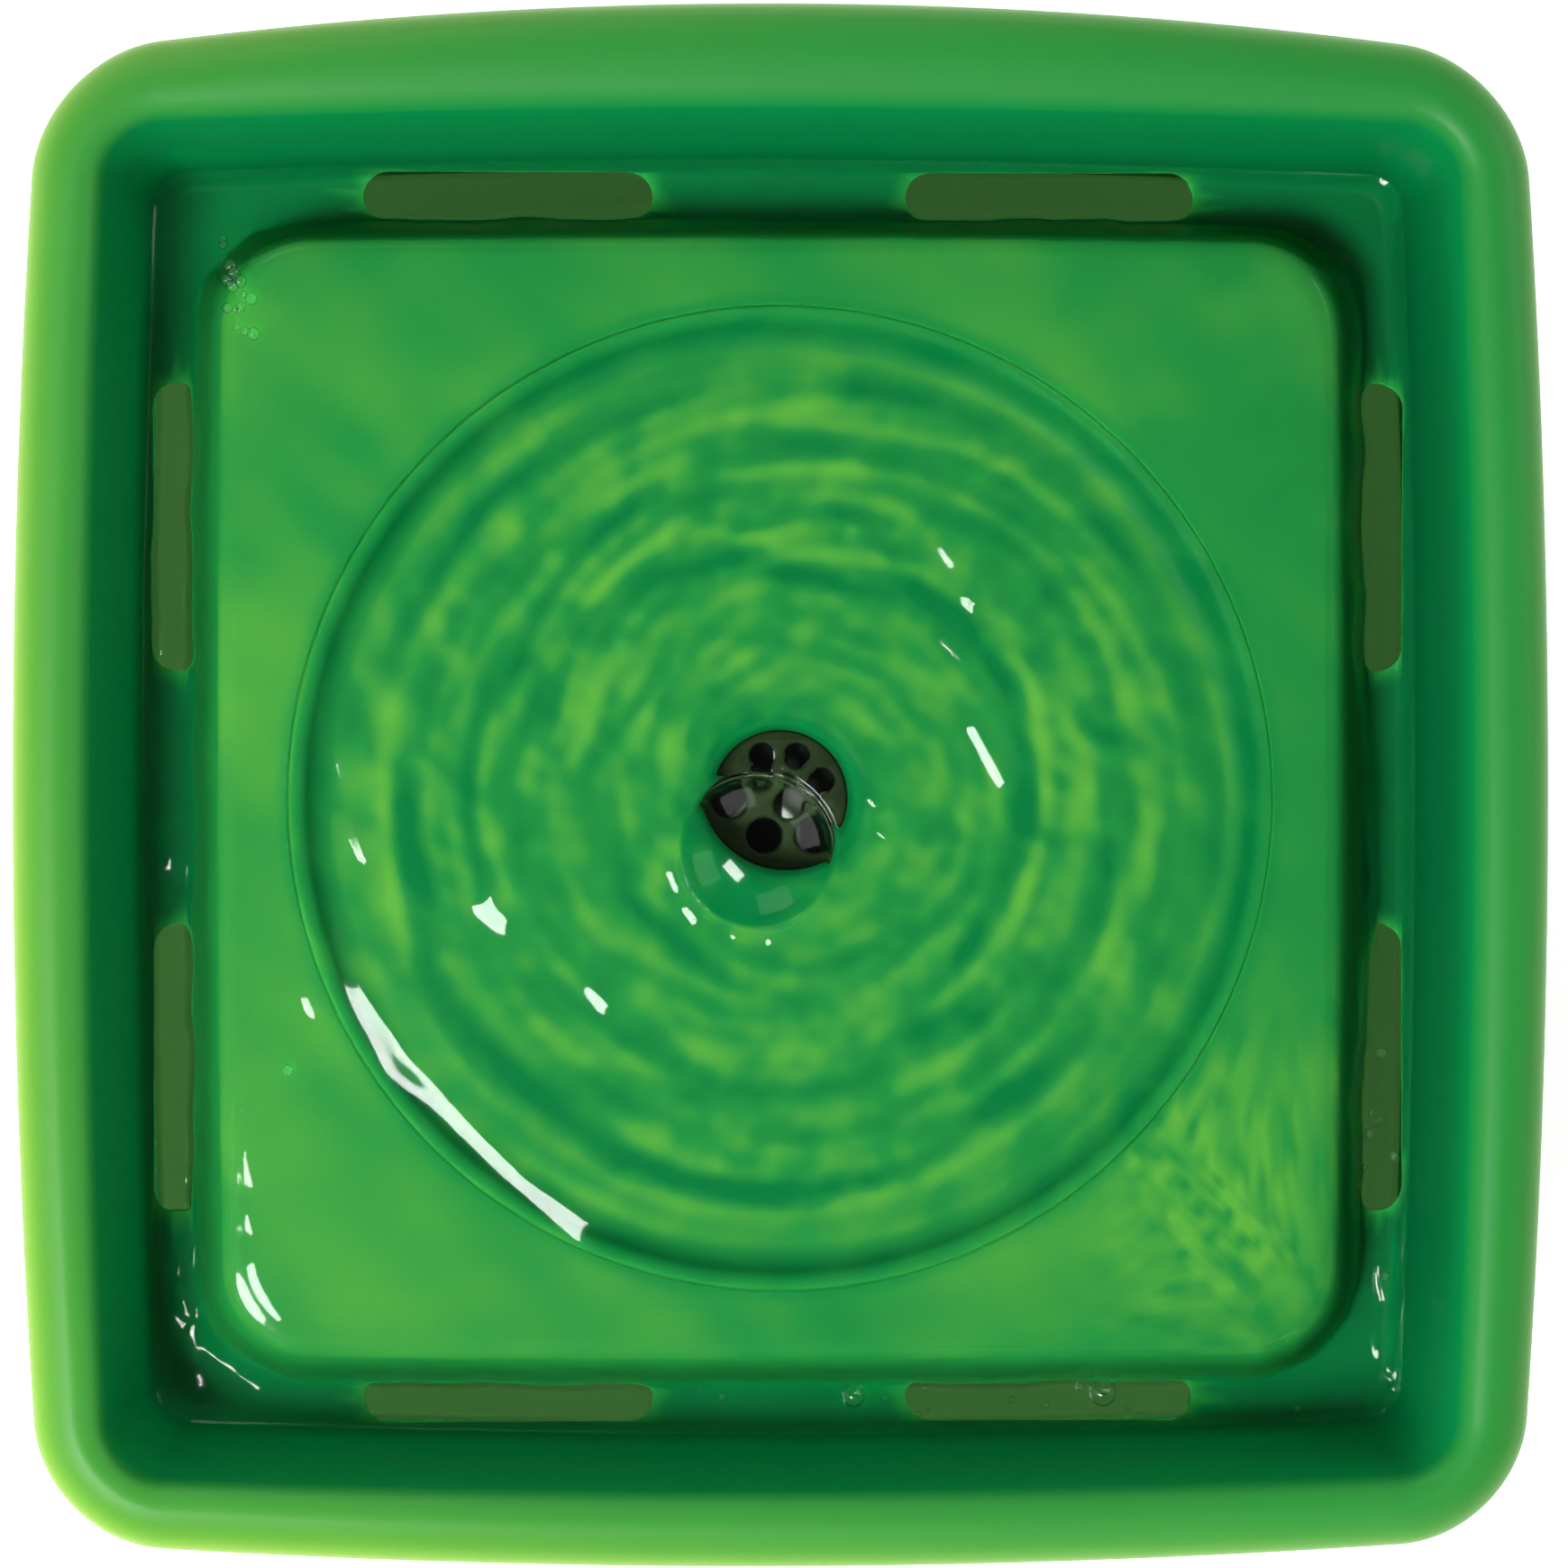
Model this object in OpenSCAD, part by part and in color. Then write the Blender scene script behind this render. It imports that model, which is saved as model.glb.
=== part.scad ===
// Square pet drinking fountain: a green bowl that drops into a grey tank,
// with a lift-out dish, a filter cup under it and a small submersible pump.
// The fountain's own centre line is the Z axis until place() moves it.

/* [Rim] */
// Centre line to the outer edge of the lip, at the middle of a side
rim_half = 121.65; // [118:0.05:135]
// How much further the back of the lip swells out
back_swell = 4.3; // [3:0.1:6]
// How far each side of the lip bows outwards
side_bow = 4.5; // [2:0.1:6]
// Corner radius of the lip
rim_corner = 19; // [16:0.5:26]
// Height of the top of the lip above the table
rim_top = 100; // [98:1:104]
// Height of the lower edge of the lip's skirt
skirt_foot = 87; // [87:0.5:89]

/* [Bowl] */
// Centre line to the top of the bowl's inner wall, at the middle of a side
opening_half = 109; // [107:0.1:110]
// Centre line to the foot of the bowl's inner wall
trough_half = 102; // [101:0.1:103]
// Height of the trough's floor
trough_floor = 66; // [65:0.5:67]
// Centre line to the foot of the square platform
platform_half = 92.6; // [91:0.1:93]
// Corner radius of the platform
platform_corner = 15; // [12:0.5:18]
// Height of the platform's flat top
platform_top = 80; // [79:0.5:81]
// Thickness of the bowl and the dish
wall = 2.5; // [2.4:0.05:2.6]
// Length of a drain slot
slot_length = 47; // [30:1:50]
// Width of a drain slot
slot_width = 8.4; // [6:0.1:8.6]
// Centre of a side to the middle of each of its two slots
slot_offset = 44; // [35:0.5:46]

/* [Dish] */
// Radius of the lift-out dish
dish_radius = 79; // [78:0.5:80]
// Depth of the dish below the platform's top
dish_depth = 4.4; // [3:0.1:5]
// Radius of the spout hole in the middle of the dish
spout_radius = 11; // [9:0.1:13]
// Rounding of the spout hole's edge
spout_edge = 4; // [2:0.1:5]
// Number of holes in the strainer's outer ring
strainer_holes = 8; // [6:1:8]

/* [Filter] */
// Outer radius of the filter cup
cup_radius = 69; // [68:0.5:70]
// Height of the underside of the filter cup
cup_foot = 50; // [49:0.5:51]
// Number of spokes on each side of the cartridge frame
frame_spokes = 8; // [4:1:12]

/* [Tank] */
// Centre line to the outside of the tank at its rim
tank_rim_half = 117.5; // [117:0.1:118]
// Centre line to the outside of the tank near its base
tank_base_half = 103; // [100:0.5:108]
// Thickness of the tank's wall
tank_wall = 2.5; // [2.3:0.05:2.7]
// Height of the top of the tank's floor
tank_floor = 6; // [6:1:6]
// Radius of a rubber foot
foot_radius = 9; // [7:0.5:11]

/* [Pump] */
// Rotor's centre line, sideways from the spout
rotor_x = -9; // [-9:1:-9]
// Rotor's centre line above the table
rotor_z = 24; // [24:0.5:24]
// Number of impeller blades
blade_count = 6; // [4:1:8]
// Outer radius of the pump's outlet
outlet_radius = 6.5; // [6.5:0.1:6.6]

/* [Power inlet] */
// Height of the inlet's centre line
inlet_z = 78; // [78:0.1:78.2]
// Radius of the inlet's socket
socket_radius = 2.9; // [2.75:0.05:3]
// Radius of the inlet's centre pin
pin_radius = 1.05; // [1:0.05:1.25]

/* [Hidden] */
$fn = 96;

green = [0.22, 0.62, 0.28];
grey = [0.45, 0.46, 0.45];
black = [0.10, 0.10, 0.11];
gap = 0.3; // clearance between pieces that lift past each other
eps = 0.01; // overrun of a cut past a face

// The origin is the middle of the whole footprint, and the back swells further.
axis_y = -back_swell / 2;
module place() {
    translate([0, axis_y, 0]) children();
}

// ---- Bowed, rounded squares -------------------------------------------------
side_steps = 10;
corner_steps = 6;
ring_points = 4 * (side_steps + corner_steps);

// One side and one corner of a rounded square of half-width h and corner radius r
function quarter(h, r) = concat(
    [for (i = [0 : side_steps - 1]) [h, (h - r) * (2 * i / side_steps - 1)]],
    [for (i = [0 : corner_steps - 1])
        let (a = 90 * i / corner_steps)
        [h - r + r * cos(a), h - r + r * sin(a)]]);
function turned(p, k) =
    k == 0 ? p : k == 1 ? [-p[1], p[0]] : k == 2 ? [-p[0], -p[1]] : [p[1], -p[0]];
function bulge(t, h) = 1 - pow(t / h, 2);
// The sides swell by bow at their middles, and the back one by swell more
function bowed(p, h, bow, swell) = [
    p[0] + bow * p[0] / h * bulge(p[1], h),
    p[1] + (p[1] > 0 ? bow + swell : bow) * p[1] / h * bulge(p[0], h)];
// row is [half-width at the middle of a side, corner radius, bow, swell, height]
function square_ring(row) =
    let (h = row[0] - row[2])
    [for (k = [0 : 3]) for (q = quarter(h, row[1]))
        let (b = bowed(turned(q, k), h, row[2], row[3]))
        [b[0], b[1], row[4]]];
// A circle with its points in the same directions as a ring's
function round_ring(radius, z) =
    [for (k = [0 : 3]) for (q = quarter(platform_half, platform_corner))
        let (p = turned(q, k), s = radius / norm(p))
        [p[0] * s, p[1] * s, z]];

function flat(rings) = [for (ring = rings) for (p = ring) p];
function band(k, next) =
    [for (i = [0 : ring_points - 1])
        let (j = (i + 1) % ring_points, a = k * ring_points, b = next * ring_points)
        each [[a + i, b + i, b + j], [a + i, b + j, a + j]]];

// A solid stacked from rings, the lowest first
module stack(rings) {
    last = len(rings) - 1;
    polyhedron(
        points = flat(rings),
        faces = concat(
            [for (k = [0 : last - 1]) each band(k, k + 1)],
            [[for (i = [0 : ring_points - 1]) i]],
            [[for (i = [ring_points - 1 : -1 : 0]) last * ring_points + i]]));
}

// A closed skin: the rings run over the outside and come back underneath
module skin(rings) {
    polyhedron(
        points = flat(rings),
        faces = [for (k = [0 : len(rings) - 1]) each band(k, (k + 1) % len(rings))]);
}

// Points on an arc, in a section with radius across and height up
function arc(cx, cz, r, from, to, steps) =
    [for (i = [0 : steps]) let (a = from + (to - from) * i / steps)
        [cx + r * cos(a), cz + r * sin(a)]];

// A plate with round corners, exact, centred on the origin
module round_plate(x, y, r, height) {
    linear_extrude(height) {
        square([x, y - 2 * r], center = true);
        square([x - 2 * r, y], center = true);
        for (sx = [-1, 1], sy = [-1, 1])
            translate([sx * (x / 2 - r), sy * (y / 2 - r)]) circle(r);
    }
}

module box(from, to) {
    translate(from) cube(to - from);
}

module tube(outer, inner, z0, z1) {
    difference() {
        translate([0, 0, z0]) cylinder(r = outer, h = z1 - z0);
        translate([0, 0, z0 - eps]) cylinder(r = inner, h = z1 - z0 + 2 * eps);
    }
}

// ---- Tank -------------------------------------------------------------------
tank_rim_z = rim_top - 4;
tank_foot_z = 3;
tank_corner = rim_corner - 4;
inlet_face = rim_half + back_swell - 2.95;
foot_spread = 78;
clip_heights = [34, 58];

function tank_row(inset, z) =
    let (t = (z - 10) / (tank_rim_z - 10))
    [tank_base_half + t * (tank_rim_half - tank_base_half) - inset,
     tank_corner + 2 * (1 - t) - inset * 0.9, side_bow - 0.6 * (1 - t),
     back_swell - 2 * (1 - t), z];

module tank_outside() {
    stack([
        square_ring([tank_base_half - 6, tank_corner - 3, side_bow - 0.8, 2.1, tank_foot_z]),
        square_ring([tank_base_half - 2.6, tank_corner, side_bow - 0.7, 2.2, tank_foot_z + 0.9]),
        square_ring([tank_base_half - 0.8, tank_corner + 1.4, side_bow - 0.6, 2.3, tank_foot_z + 3]),
        square_ring(tank_row(0, 10)),
        square_ring(tank_row(0, tank_rim_z))
    ]);
}

module tank_inside() {
    stack([
        square_ring([tank_base_half - 7.5, tank_corner - 5, side_bow - 0.8, 2.1, tank_floor]),
        square_ring([tank_base_half - 4, tank_corner - 2, side_bow - 0.7, 2.2, tank_floor + 1.2]),
        square_ring(tank_row(tank_wall, 10)),
        square_ring(tank_row(tank_wall, tank_rim_z + 1))
    ]);
}

// Back wall of the tank's inside, at the middle, at height z
function back_wall_y(z) = let (row = tank_row(tank_wall, z)) row[0] + row[3];

module lead_clip(z) {
    y = back_wall_y(z);
    difference() {
        box([-4.5, y - 6.5, z - 3], [4.5, y + 1.2, z + 3]);
        box([-2.1, y - 5, z - 4], [2.1, y - 0.2, z + 4]);
        box([-1.4, y - 7, z - 4], [1.4, y - 4, z + 4]);
    }
}

module tank() {
    color(grey) place() {
        difference() {
            union() {
                tank_outside();
                box([-12, 110, inlet_z - 8.5], [12, inlet_face, inlet_z + 8.2]);
            }
            tank_inside();
            box([-8, 100, inlet_z - 6.2], [8, inlet_face - 3, inlet_z + 6.2]);
            translate([0, inlet_face - 4, inlet_z]) rotate([-90, 0, 0]) cylinder(r = 4.05, h = 5);
            for (sx = [-1, 1], sy = [-1, 1])
                translate([sx * foot_spread, sy * foot_spread, tank_foot_z - 1])
                    cylinder(r = foot_radius + 0.1, h = 2);
        }
        for (z = clip_heights) lead_clip(z);
    }
}

module foot(sx, sy) {
    color(black) place() translate([sx * foot_spread, sy * foot_spread, 0])
        rotate_extrude() polygon([[0, 0], [foot_radius - 1, 0], [foot_radius, 1],
            [foot_radius, tank_foot_z + 1], [0, tank_foot_z + 1]]);
}

// ---- Bowl -------------------------------------------------------------------
lip_under = tank_rim_z;
recess_radius = dish_radius + gap;
ledge_z = platform_top - 10;
ledge_inner = 72;

// The bowl's skin, from the skirt's outer edge over the lip, down the wall, across
// the trough and over the platform, and back underneath at one wall's thickness
bowl_rows = [
    [rim_half - 0.25, rim_corner - 0.2, side_bow, back_swell, skirt_foot],
    [rim_half, rim_corner, side_bow, back_swell, rim_top - 8.5],
    [rim_half - 0.8, rim_corner - 0.6, side_bow, back_swell, rim_top - 4.5],
    [rim_half - 2.8, rim_corner - 2.2, side_bow, back_swell, rim_top - 1.7],
    [rim_half - 5, rim_corner - 4, side_bow - 0.1, back_swell - 0.6, rim_top - 0.4],
    [rim_half - 7.2, rim_corner - 5.8, side_bow - 0.4, back_swell - 1.5, rim_top],
    [opening_half + 3, 11, side_bow - 0.9, 1.6, rim_top - 0.5],
    [opening_half + 1.2, 9.6, side_bow - 1.4, 0.5, rim_top - 1.7],
    [opening_half, 8.6, 2.8, 0, rim_top - 3.8],
    [trough_half + 2.8, 6.6, 2.6, 0, trough_floor + 12],
    [trough_half + 0.5, 5.2, 2.5, 0, trough_floor + 2.2],
    [trough_half - 0.4, 4.6, 2.5, 0, trough_floor + 0.6],
    [trough_half - 1.6, 4.0, 2.5, 0, trough_floor],
    [platform_half + 1, platform_corner + 1, 1, 0, trough_floor],
    [platform_half, platform_corner, 1, 0, trough_floor + 1],
    [platform_half - 1, platform_corner - 0.5, 1, 0, platform_top - 4.5],
    [platform_half - 1.9, platform_corner - 1, 1, 0, platform_top - 1.9],
    [platform_half - 3.3, platform_corner - 1.6, 0.8, 0, platform_top - 0.5],
    [platform_half - 5, platform_corner - 2.6, 0.5, 0, platform_top]
];
under_rows = [
    [platform_half - 6.4, platform_corner - 4, 0.5, 0, platform_top - wall],
    [platform_half - 3.6, platform_corner - 2.5, 1, 0, platform_top - 5.5],
    [platform_half - 2.1, platform_corner - 1.6, 1, 0, trough_floor - wall],
    [trough_half + 2, 6.4, 2.5, 0, trough_floor - wall],
    [trough_half + 3.2, 7.4, 2.5, 0, trough_floor + 2],
    [trough_half + 5.2, 8.8, 2.6, 0, trough_floor + 12],
    [opening_half + 2.3, 10.8, 2.9, 0, lip_under - 2.4],
    [opening_half + 3.4, 11.6, 3.2, 0.6, lip_under],
    [rim_half - 3.7, rim_corner - 3, side_bow, back_swell - 0.2, lip_under],
    [rim_half - 2.7, rim_corner - 2.2, side_bow, back_swell, lip_under - 1.6],
    [rim_half - 2.7, rim_corner - 2.2, side_bow, back_swell, skirt_foot]
];

module drain_slot() {
    straight = slot_length - slot_width;
    translate([-straight / 2, -slot_width / 2, 0]) cube([straight, slot_width, 12]);
    for (s = [-1, 1]) translate([s * straight / 2, 0, 0]) cylinder(r = slot_width / 2, h = 12);
}

module bowl() {
    color(green) place() difference() {
        union() {
            skin(concat(
                [for (row = bowl_rows) square_ring(row)],
                [round_ring(dish_radius - 3, platform_top)],
                [round_ring(dish_radius - 3, platform_top - wall)],
                [for (row = under_rows) square_ring(row)]));
            tube(recess_radius + wall, recess_radius - 1, ledge_z - wall, platform_top - 1);
            tube(recess_radius, ledge_inner, ledge_z - wall, ledge_z);
        }
        translate([0, 0, ledge_z]) cylinder(r = recess_radius, h = 20);
        for (k = [0 : 3], s = [-1, 1])
            rotate([0, 0, 90 * k])
                translate([s * slot_offset, trough_half - 0.4 - slot_width / 2, trough_floor - 6])
                    drain_slot();
    }
}

// ---- Dish and strainer ------------------------------------------------------
dish_floor = platform_top - dish_depth;
spout_foot = dish_floor - 9;
ring_outer = 66;
cove = 5; // radius of the hollow curve inside the dish's edge

module dish() {
    color(green) place() rotate_extrude() polygon(concat(
        [[dish_radius, ledge_z], [dish_radius, platform_top - 0.4],
         [dish_radius - 0.4, platform_top], [dish_radius - 0.9, platform_top]],
        arc(dish_radius - 0.9 - cove, dish_floor + cove, cove, -7, -90, 6),
        [[spout_radius + spout_edge + 0.5, dish_floor - 0.4]],
        arc(spout_radius + spout_edge, dish_floor - 0.4 - spout_edge, spout_edge, 90, 180, 6),
        [[spout_radius, spout_foot], [spout_radius + 2, spout_foot],
         [spout_radius + 2, dish_floor - 0.9 - spout_edge],
         [spout_radius + spout_edge + 0.5, dish_floor - wall - 0.6],
         [ring_outer - 2, dish_floor - wall],
         [ring_outer - 2, cup_foot + 15], [ring_outer, cup_foot + 15],
         [ring_outer, dish_floor - wall], [dish_radius - 5, dish_floor - wall],
         [dish_radius - 3, dish_floor - 1], [dish_radius - 3, ledge_z]]));
}

strainer_rings = [ // [number of holes, ring radius, hole radius, first hole's angle]
    [strainer_holes, 7.4, 2.1, 180 / strainer_holes], [4, 3.3, 1.7, 0]];

module strainer() {
    top = spout_foot - 0.1;
    color(grey) place() difference() {
        union() {
            translate([0, 0, top - 1.6]) cylinder(r = spout_radius + 2, h = 1.6);
            translate([0, 0, top - 1.6]) cylinder(r = spout_radius - 0.1, h = 2.4);
            translate([0, 0, top]) cylinder(r = 1.2, h = 1.8);
        }
        for (ring = strainer_rings, i = [0 : ring[0] - 1])
            rotate([0, 0, ring[3] + i * 360 / ring[0]])
                translate([ring[1], 0, top - 3]) cylinder(r = ring[2], h = 6);
    }
}

// ---- Filter -----------------------------------------------------------------
cup_wall = 2.6;
cup_rim = dish_floor - wall - 1.2;
cartridge_foot = cup_foot + 6;
cartridge_height = 7.2;
cartridge_radius = cup_radius - cup_wall - 2.6;
socket_foot = cup_foot - 10;

module filter_cup() {
    color([0.75, 0.78, 0.76]) place() rotate_extrude() polygon([
        [8, socket_foot], [10.2, socket_foot], [10.2, cup_foot], [cup_radius - 3, cup_foot],
        [cup_radius, cup_foot + 3], [cup_radius, cup_rim], [cup_radius - cup_wall, cup_rim],
        [cup_radius - cup_wall, cup_foot + 2], [8, cup_foot + 2]]);
}

module cup_gasket() {
    color(black) place() tube(cup_radius, ring_outer + 0.2, cup_rim, dish_floor - wall);
}

module coarse_foam() {
    color([0.16, 0.2, 0.3]) place()
        tube(cartridge_radius, 6, cup_foot + 2, cartridge_foot);
}

module spokes(z) {
    for (i = [0 : frame_spokes - 1])
        rotate([0, 0, i * 360 / frame_spokes])
            translate([0, -0.9, z]) cube([cartridge_radius - 2, 1.8, 1]);
}

module cartridge_frame() {
    color("white") place() {
        tube(cartridge_radius, cartridge_radius - 3, cartridge_foot,
            cartridge_foot + cartridge_height);
        spokes(cartridge_foot);
        spokes(cartridge_foot + cartridge_height - 1);
    }
}

module carbon_bed() {
    color(black) place() translate([0, 0, cartridge_foot + 1])
        cylinder(r = cartridge_radius - 3, h = cartridge_height - 3);
}

module fleece_pad() {
    color("white") place() translate([0, 0, cartridge_foot + cartridge_height - 2])
        cylinder(r = cartridge_radius - 3, h = 1);
}

module riser_seal() {
    color([0.8, 0.8, 0.8]) place() tube(8, outlet_radius + 0.1, socket_foot + 1, socket_foot + 4);
}

// ---- Pump -------------------------------------------------------------------
motor_from = [-42, 6, 8.5];
motor_to = [6, 36, 39.5];
shell = 2;
volute_radius = 15;
well_radius = 8;
well_wall = 1.5;
well_end = 32;
shaft_radius = 1;
outlet_top = cup_foot;
core_y = [14, 27];
yoke_x = [-34, -28];

// Moves a piece drawn along Z so that it lies along the rotor's centre line, at y
module on_rotor(y) {
    translate([rotor_x, y, rotor_z]) rotate([-90, 0, 0]) children();
}

module motor_cavity(shrink) {
    difference() {
        box(motor_from + [shell + shrink, shell + shrink, shell + shrink],
            [motor_to[0] - shell - shrink, motor_to[1] - shrink, motor_to[2] - shell - shrink]);
        on_rotor(0) cylinder(r = well_radius + well_wall + shrink, h = well_end + well_wall + shrink);
    }
}

module pump_body() {
    color(black) place() difference() {
        union() {
            difference() {
                box(motor_from, motor_to);
                motor_cavity(0);
                box([motor_from[0] + shell, motor_to[1] - 1, motor_from[2] + shell],
                    [motor_to[0] - shell, motor_to[1] + 1, motor_to[2] - shell]);
            }
            on_rotor(-8) cylinder(r = volute_radius, h = 14);
            translate([0, 0, rotor_z]) cylinder(r = outlet_radius, h = outlet_top - rotor_z);
        }
        on_rotor(-8 - eps) cylinder(r = volute_radius - 2, h = 13);
        on_rotor(4) cylinder(r = well_radius, h = well_end - 4);
        translate([0, 0, rotor_z]) cylinder(r = outlet_radius - 2, h = 40);
        for (p = cup_places) translate([p[0], p[1], motor_from[2] - 1]) cylinder(r = 2.05, h = 2.6);
    }
}

module core_shape() {
    difference() {
        union() {
            box([yoke_x[0], core_y[0], 10.8], [yoke_x[1], core_y[1], 37.2]);
            for (s = [0, 1]) {
                box([yoke_x[0], core_y[0], s ? 33.8 : 10.8], [0, core_y[1], s ? 37.2 : 14.2]);
                box([rotor_x - 9, core_y[0], s ? 30 : 10.8], [0, core_y[1], s ? 37.2 : 18]);
            }
        }
        on_rotor(0) cylinder(r = well_radius + well_wall + 0.2, h = 40);
    }
}

module stator_core() {
    color("silver") place() core_shape();
}

module bobbin_shape() {
    difference() {
        union() {
            box([yoke_x[0] - 0.8, core_y[0] - 0.8, 14.4], [yoke_x[1] + 0.8, core_y[1] + 0.8, 33.6]);
            for (z = [14.4, 32.6])
                box([yoke_x[0] - 5.3, core_y[0] - 5.3, z], [yoke_x[1] + 5.3, core_y[1] + 5.3, z + 1]);
        }
        box([yoke_x[0] - 0.05, core_y[0] - 0.05, 14], [yoke_x[1] + 0.05, core_y[1] + 0.05, 34]);
    }
}

module bobbin() {
    color("white") place() bobbin_shape();
}

module coil_shape() {
    middle = [(yoke_x[0] + yoke_x[1]) / 2, (core_y[0] + core_y[1]) / 2, 15.5];
    difference() {
        translate(middle) round_plate(15.8, 22.8, 4, 17);
        box([yoke_x[0] - 0.85, core_y[0] - 0.85, 14], [yoke_x[1] + 0.85, core_y[1] + 0.85, 34]);
    }
}

module coil() {
    color([0.72, 0.38, 0.2]) place() coil_shape();
}

// Resin that seals the windings into the pump's back
module potting() {
    color([0.2, 0.2, 0.22]) place() difference() {
        motor_cavity(0.05);
        box([yoke_x[0] - 5.4, core_y[0] - 5.4, 10.7], [yoke_x[1] + 5.4, core_y[1] + 5.4, 37.3]);
        box([yoke_x[1], core_y[0] - 0.1, 10.7], [0.1, core_y[1] + 0.1, 37.3]);
    }
}

module rear_bush() {
    color("white") place() on_rotor(well_end - 2.5) tube(4, shaft_radius, 0, 2.5);
}

module front_bush() {
    color("white") place() on_rotor(-10) tube(2.2, shaft_radius, 0, 3);
}

module rotor_shaft() {
    color("silver") place() on_rotor(-9.5) cylinder(r = shaft_radius, h = well_end + 9);
}

module rotor_magnet() {
    color([0.25, 0.25, 0.27]) place() on_rotor(8.5) tube(well_radius - 0.8, shaft_radius + 0.06, 0, 20);
}

module impeller() {
    color([0.85, 0.85, 0.8]) place() on_rotor(-5) difference() {
        union() {
            cylinder(r = 3.4, h = 13.3);
            translate([0, 0, 7.4]) cylinder(r = 7, h = 1.2);
            for (i = [0 : blade_count - 1])
                rotate([0, 0, i * 360 / blade_count])
                    translate([2.5, -0.6, 0.4]) cube([9, 1.2, 7.4]);
        }
        translate([0, 0, -1]) cylinder(r = shaft_radius + 0.06, h = 20);
    }
}

boss_radius = 3.2;

module volute_cover() {
    color(black) place() on_rotor(-10) {
        difference() {
            union() {
                cylinder(r = volute_radius, h = 2);
                cylinder(r = volute_radius - 2.2, h = 3.2);
            }
            translate([0, 0, -1]) cylinder(r = 6.8, h = 6);
        }
        for (i = [0 : 2])
            rotate([0, 0, 90 + i * 120]) translate([boss_radius - 0.4, -0.8, 0]) cube([4.4, 1.6, 2]);
        tube(boss_radius, 2.2, -2.4, 3);
    }
}

// Turning shutter on the cover's boss: its window uncovers more or less of the intake
module flow_shutter() {
    color([0.85, 0.45, 0.1]) place() on_rotor(-12) {
        difference() {
            cylinder(r = 12.6, h = 1.7);
            translate([0, 0, -1]) cylinder(r = boss_radius + 0.1, h = 5);
            for (i = [0 : 2])
                rotate([0, 0, 60 + i * 120]) translate([5.6, 0, -1]) cylinder(r = 1.9, h = 5);
        }
        translate([-1.5, -18, 0]) cube([3, 6, 1.7]);
    }
}

guard_front = -26;
guard_slots = 7;

module intake_guard() {
    inner = volute_radius - 2;
    color(black) place() on_rotor(guard_front) difference() {
        cylinder(r = volute_radius, h = -10 - guard_front);
        translate([0, 0, 1.8]) cylinder(r = inner, h = 30);
        for (i = [0 : guard_slots - 1])
            let (x = (i - (guard_slots - 1) / 2) * 3.4, reach = sqrt(pow(inner - 1, 2) - x * x) - 0.8)
            translate([x - 0.8, -reach, -1]) cube([1.6, 2 * reach, 4]);
        // the lever's window, at the top and round towards one side
        translate([0, 0, 13.6]) linear_extrude(4)
            polygon([[0, 0], for (a = [-9, 24, 57]) 22 * [sin(a), -cos(a)]]);
    }
}

module foam_block() {
    color([0.12, 0.14, 0.2]) place() difference() {
        translate([rotor_x, guard_front - 20, rotor_z]) rotate([-90, 0, 0])
            round_plate(42, 33, 5, 28);
        on_rotor(guard_front) cylinder(r = volute_radius + 0.1, h = 30);
    }
}

cup_places = [[-36, 12], [0, 12], [-36, 30], [0, 30]];

module suction_cup(p) {
    color([0.7, 0.72, 0.7]) place() translate([p[0], p[1], tank_floor]) rotate_extrude()
        polygon([[0, 0.9], [3, 0.8], [5.6, 0], [6, 0], [6, 0.4], [3, 1.9], [3, 2.5], [2, 2.5],
            [2, 4], [0, 4]]);
}

// ---- Lead and power inlet ---------------------------------------------------
lead_radius = 1.8;
lead_sides = 8;
gland_at = [-30, 36, 16];
// From the pump's gland along the floor, then up the back wall to the inlet
lead_route = [
    [-30, 45, 16], [-30, 49, 16], [-29.7, 53, 15.2], [-29, 57.5, 13], [-27.5, 62.5, 10.6],
    [-25, 67.5, 9], [-21.5, 72, 8.2], [-17.5, 76, 8.2], [-13, 80, 8.2], [-8.5, 84, 8.2],
    [-4.5, 88, 8.3], [-1.8, 92, 8.8], [-0.5, 96, 10.2], [0, 99, 12.6], [0, 100.8, 15.8],
    [0, 101.9, 20], [0, 102.8, 24], [0, 104, 30], [0, 105.9, 40], [0, 107.9, 50],
    [0, 109.8, 60], [0, 111.2, 67], [0, 111.6, 69.5], [0, 111.7, 72]
];

// Slope of the route at point i, from the points on both sides of it
function heading(path, i) =
    let (a = path[max(i - 1, 0)], b = path[min(i + 1, len(path) - 1)])
    (b - a) / norm(b - a);
function across(d) = let (s = cross(d, [1, 0.2, 0])) s / norm(s);
function tube_ring(path, i) =
    let (d = heading(path, i), u = across(d), v = cross(d, u))
    [for (k = [0 : lead_sides - 1])
        let (a = k * 360 / lead_sides)
        path[i] + lead_radius * (cos(a) * u + sin(a) * v)];

module lead() {
    last = len(lead_route) - 1;
    color(black) place() polyhedron(
        points = [for (i = [0 : last]) each tube_ring(lead_route, i)],
        faces = concat(
            [for (i = [0 : last - 1], k = [0 : lead_sides - 1])
                let (j = (k + 1) % lead_sides, a = i * lead_sides, b = a + lead_sides)
                each [[a + k, b + k, b + j], [a + k, b + j, a + j]]],
            [[for (k = [0 : lead_sides - 1]) k]],
            [[for (k = [lead_sides - 1 : -1 : 0]) last * lead_sides + k]]));
}

module lead_gland() {
    color(black) place() translate(gland_at) rotate([-90, 0, 0]) rotate_extrude()
        polygon([[0, 0], [4, 0], [4, 1.5], [3.2, 2], [2.4, 9], [0, 9]]);
}

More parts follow.
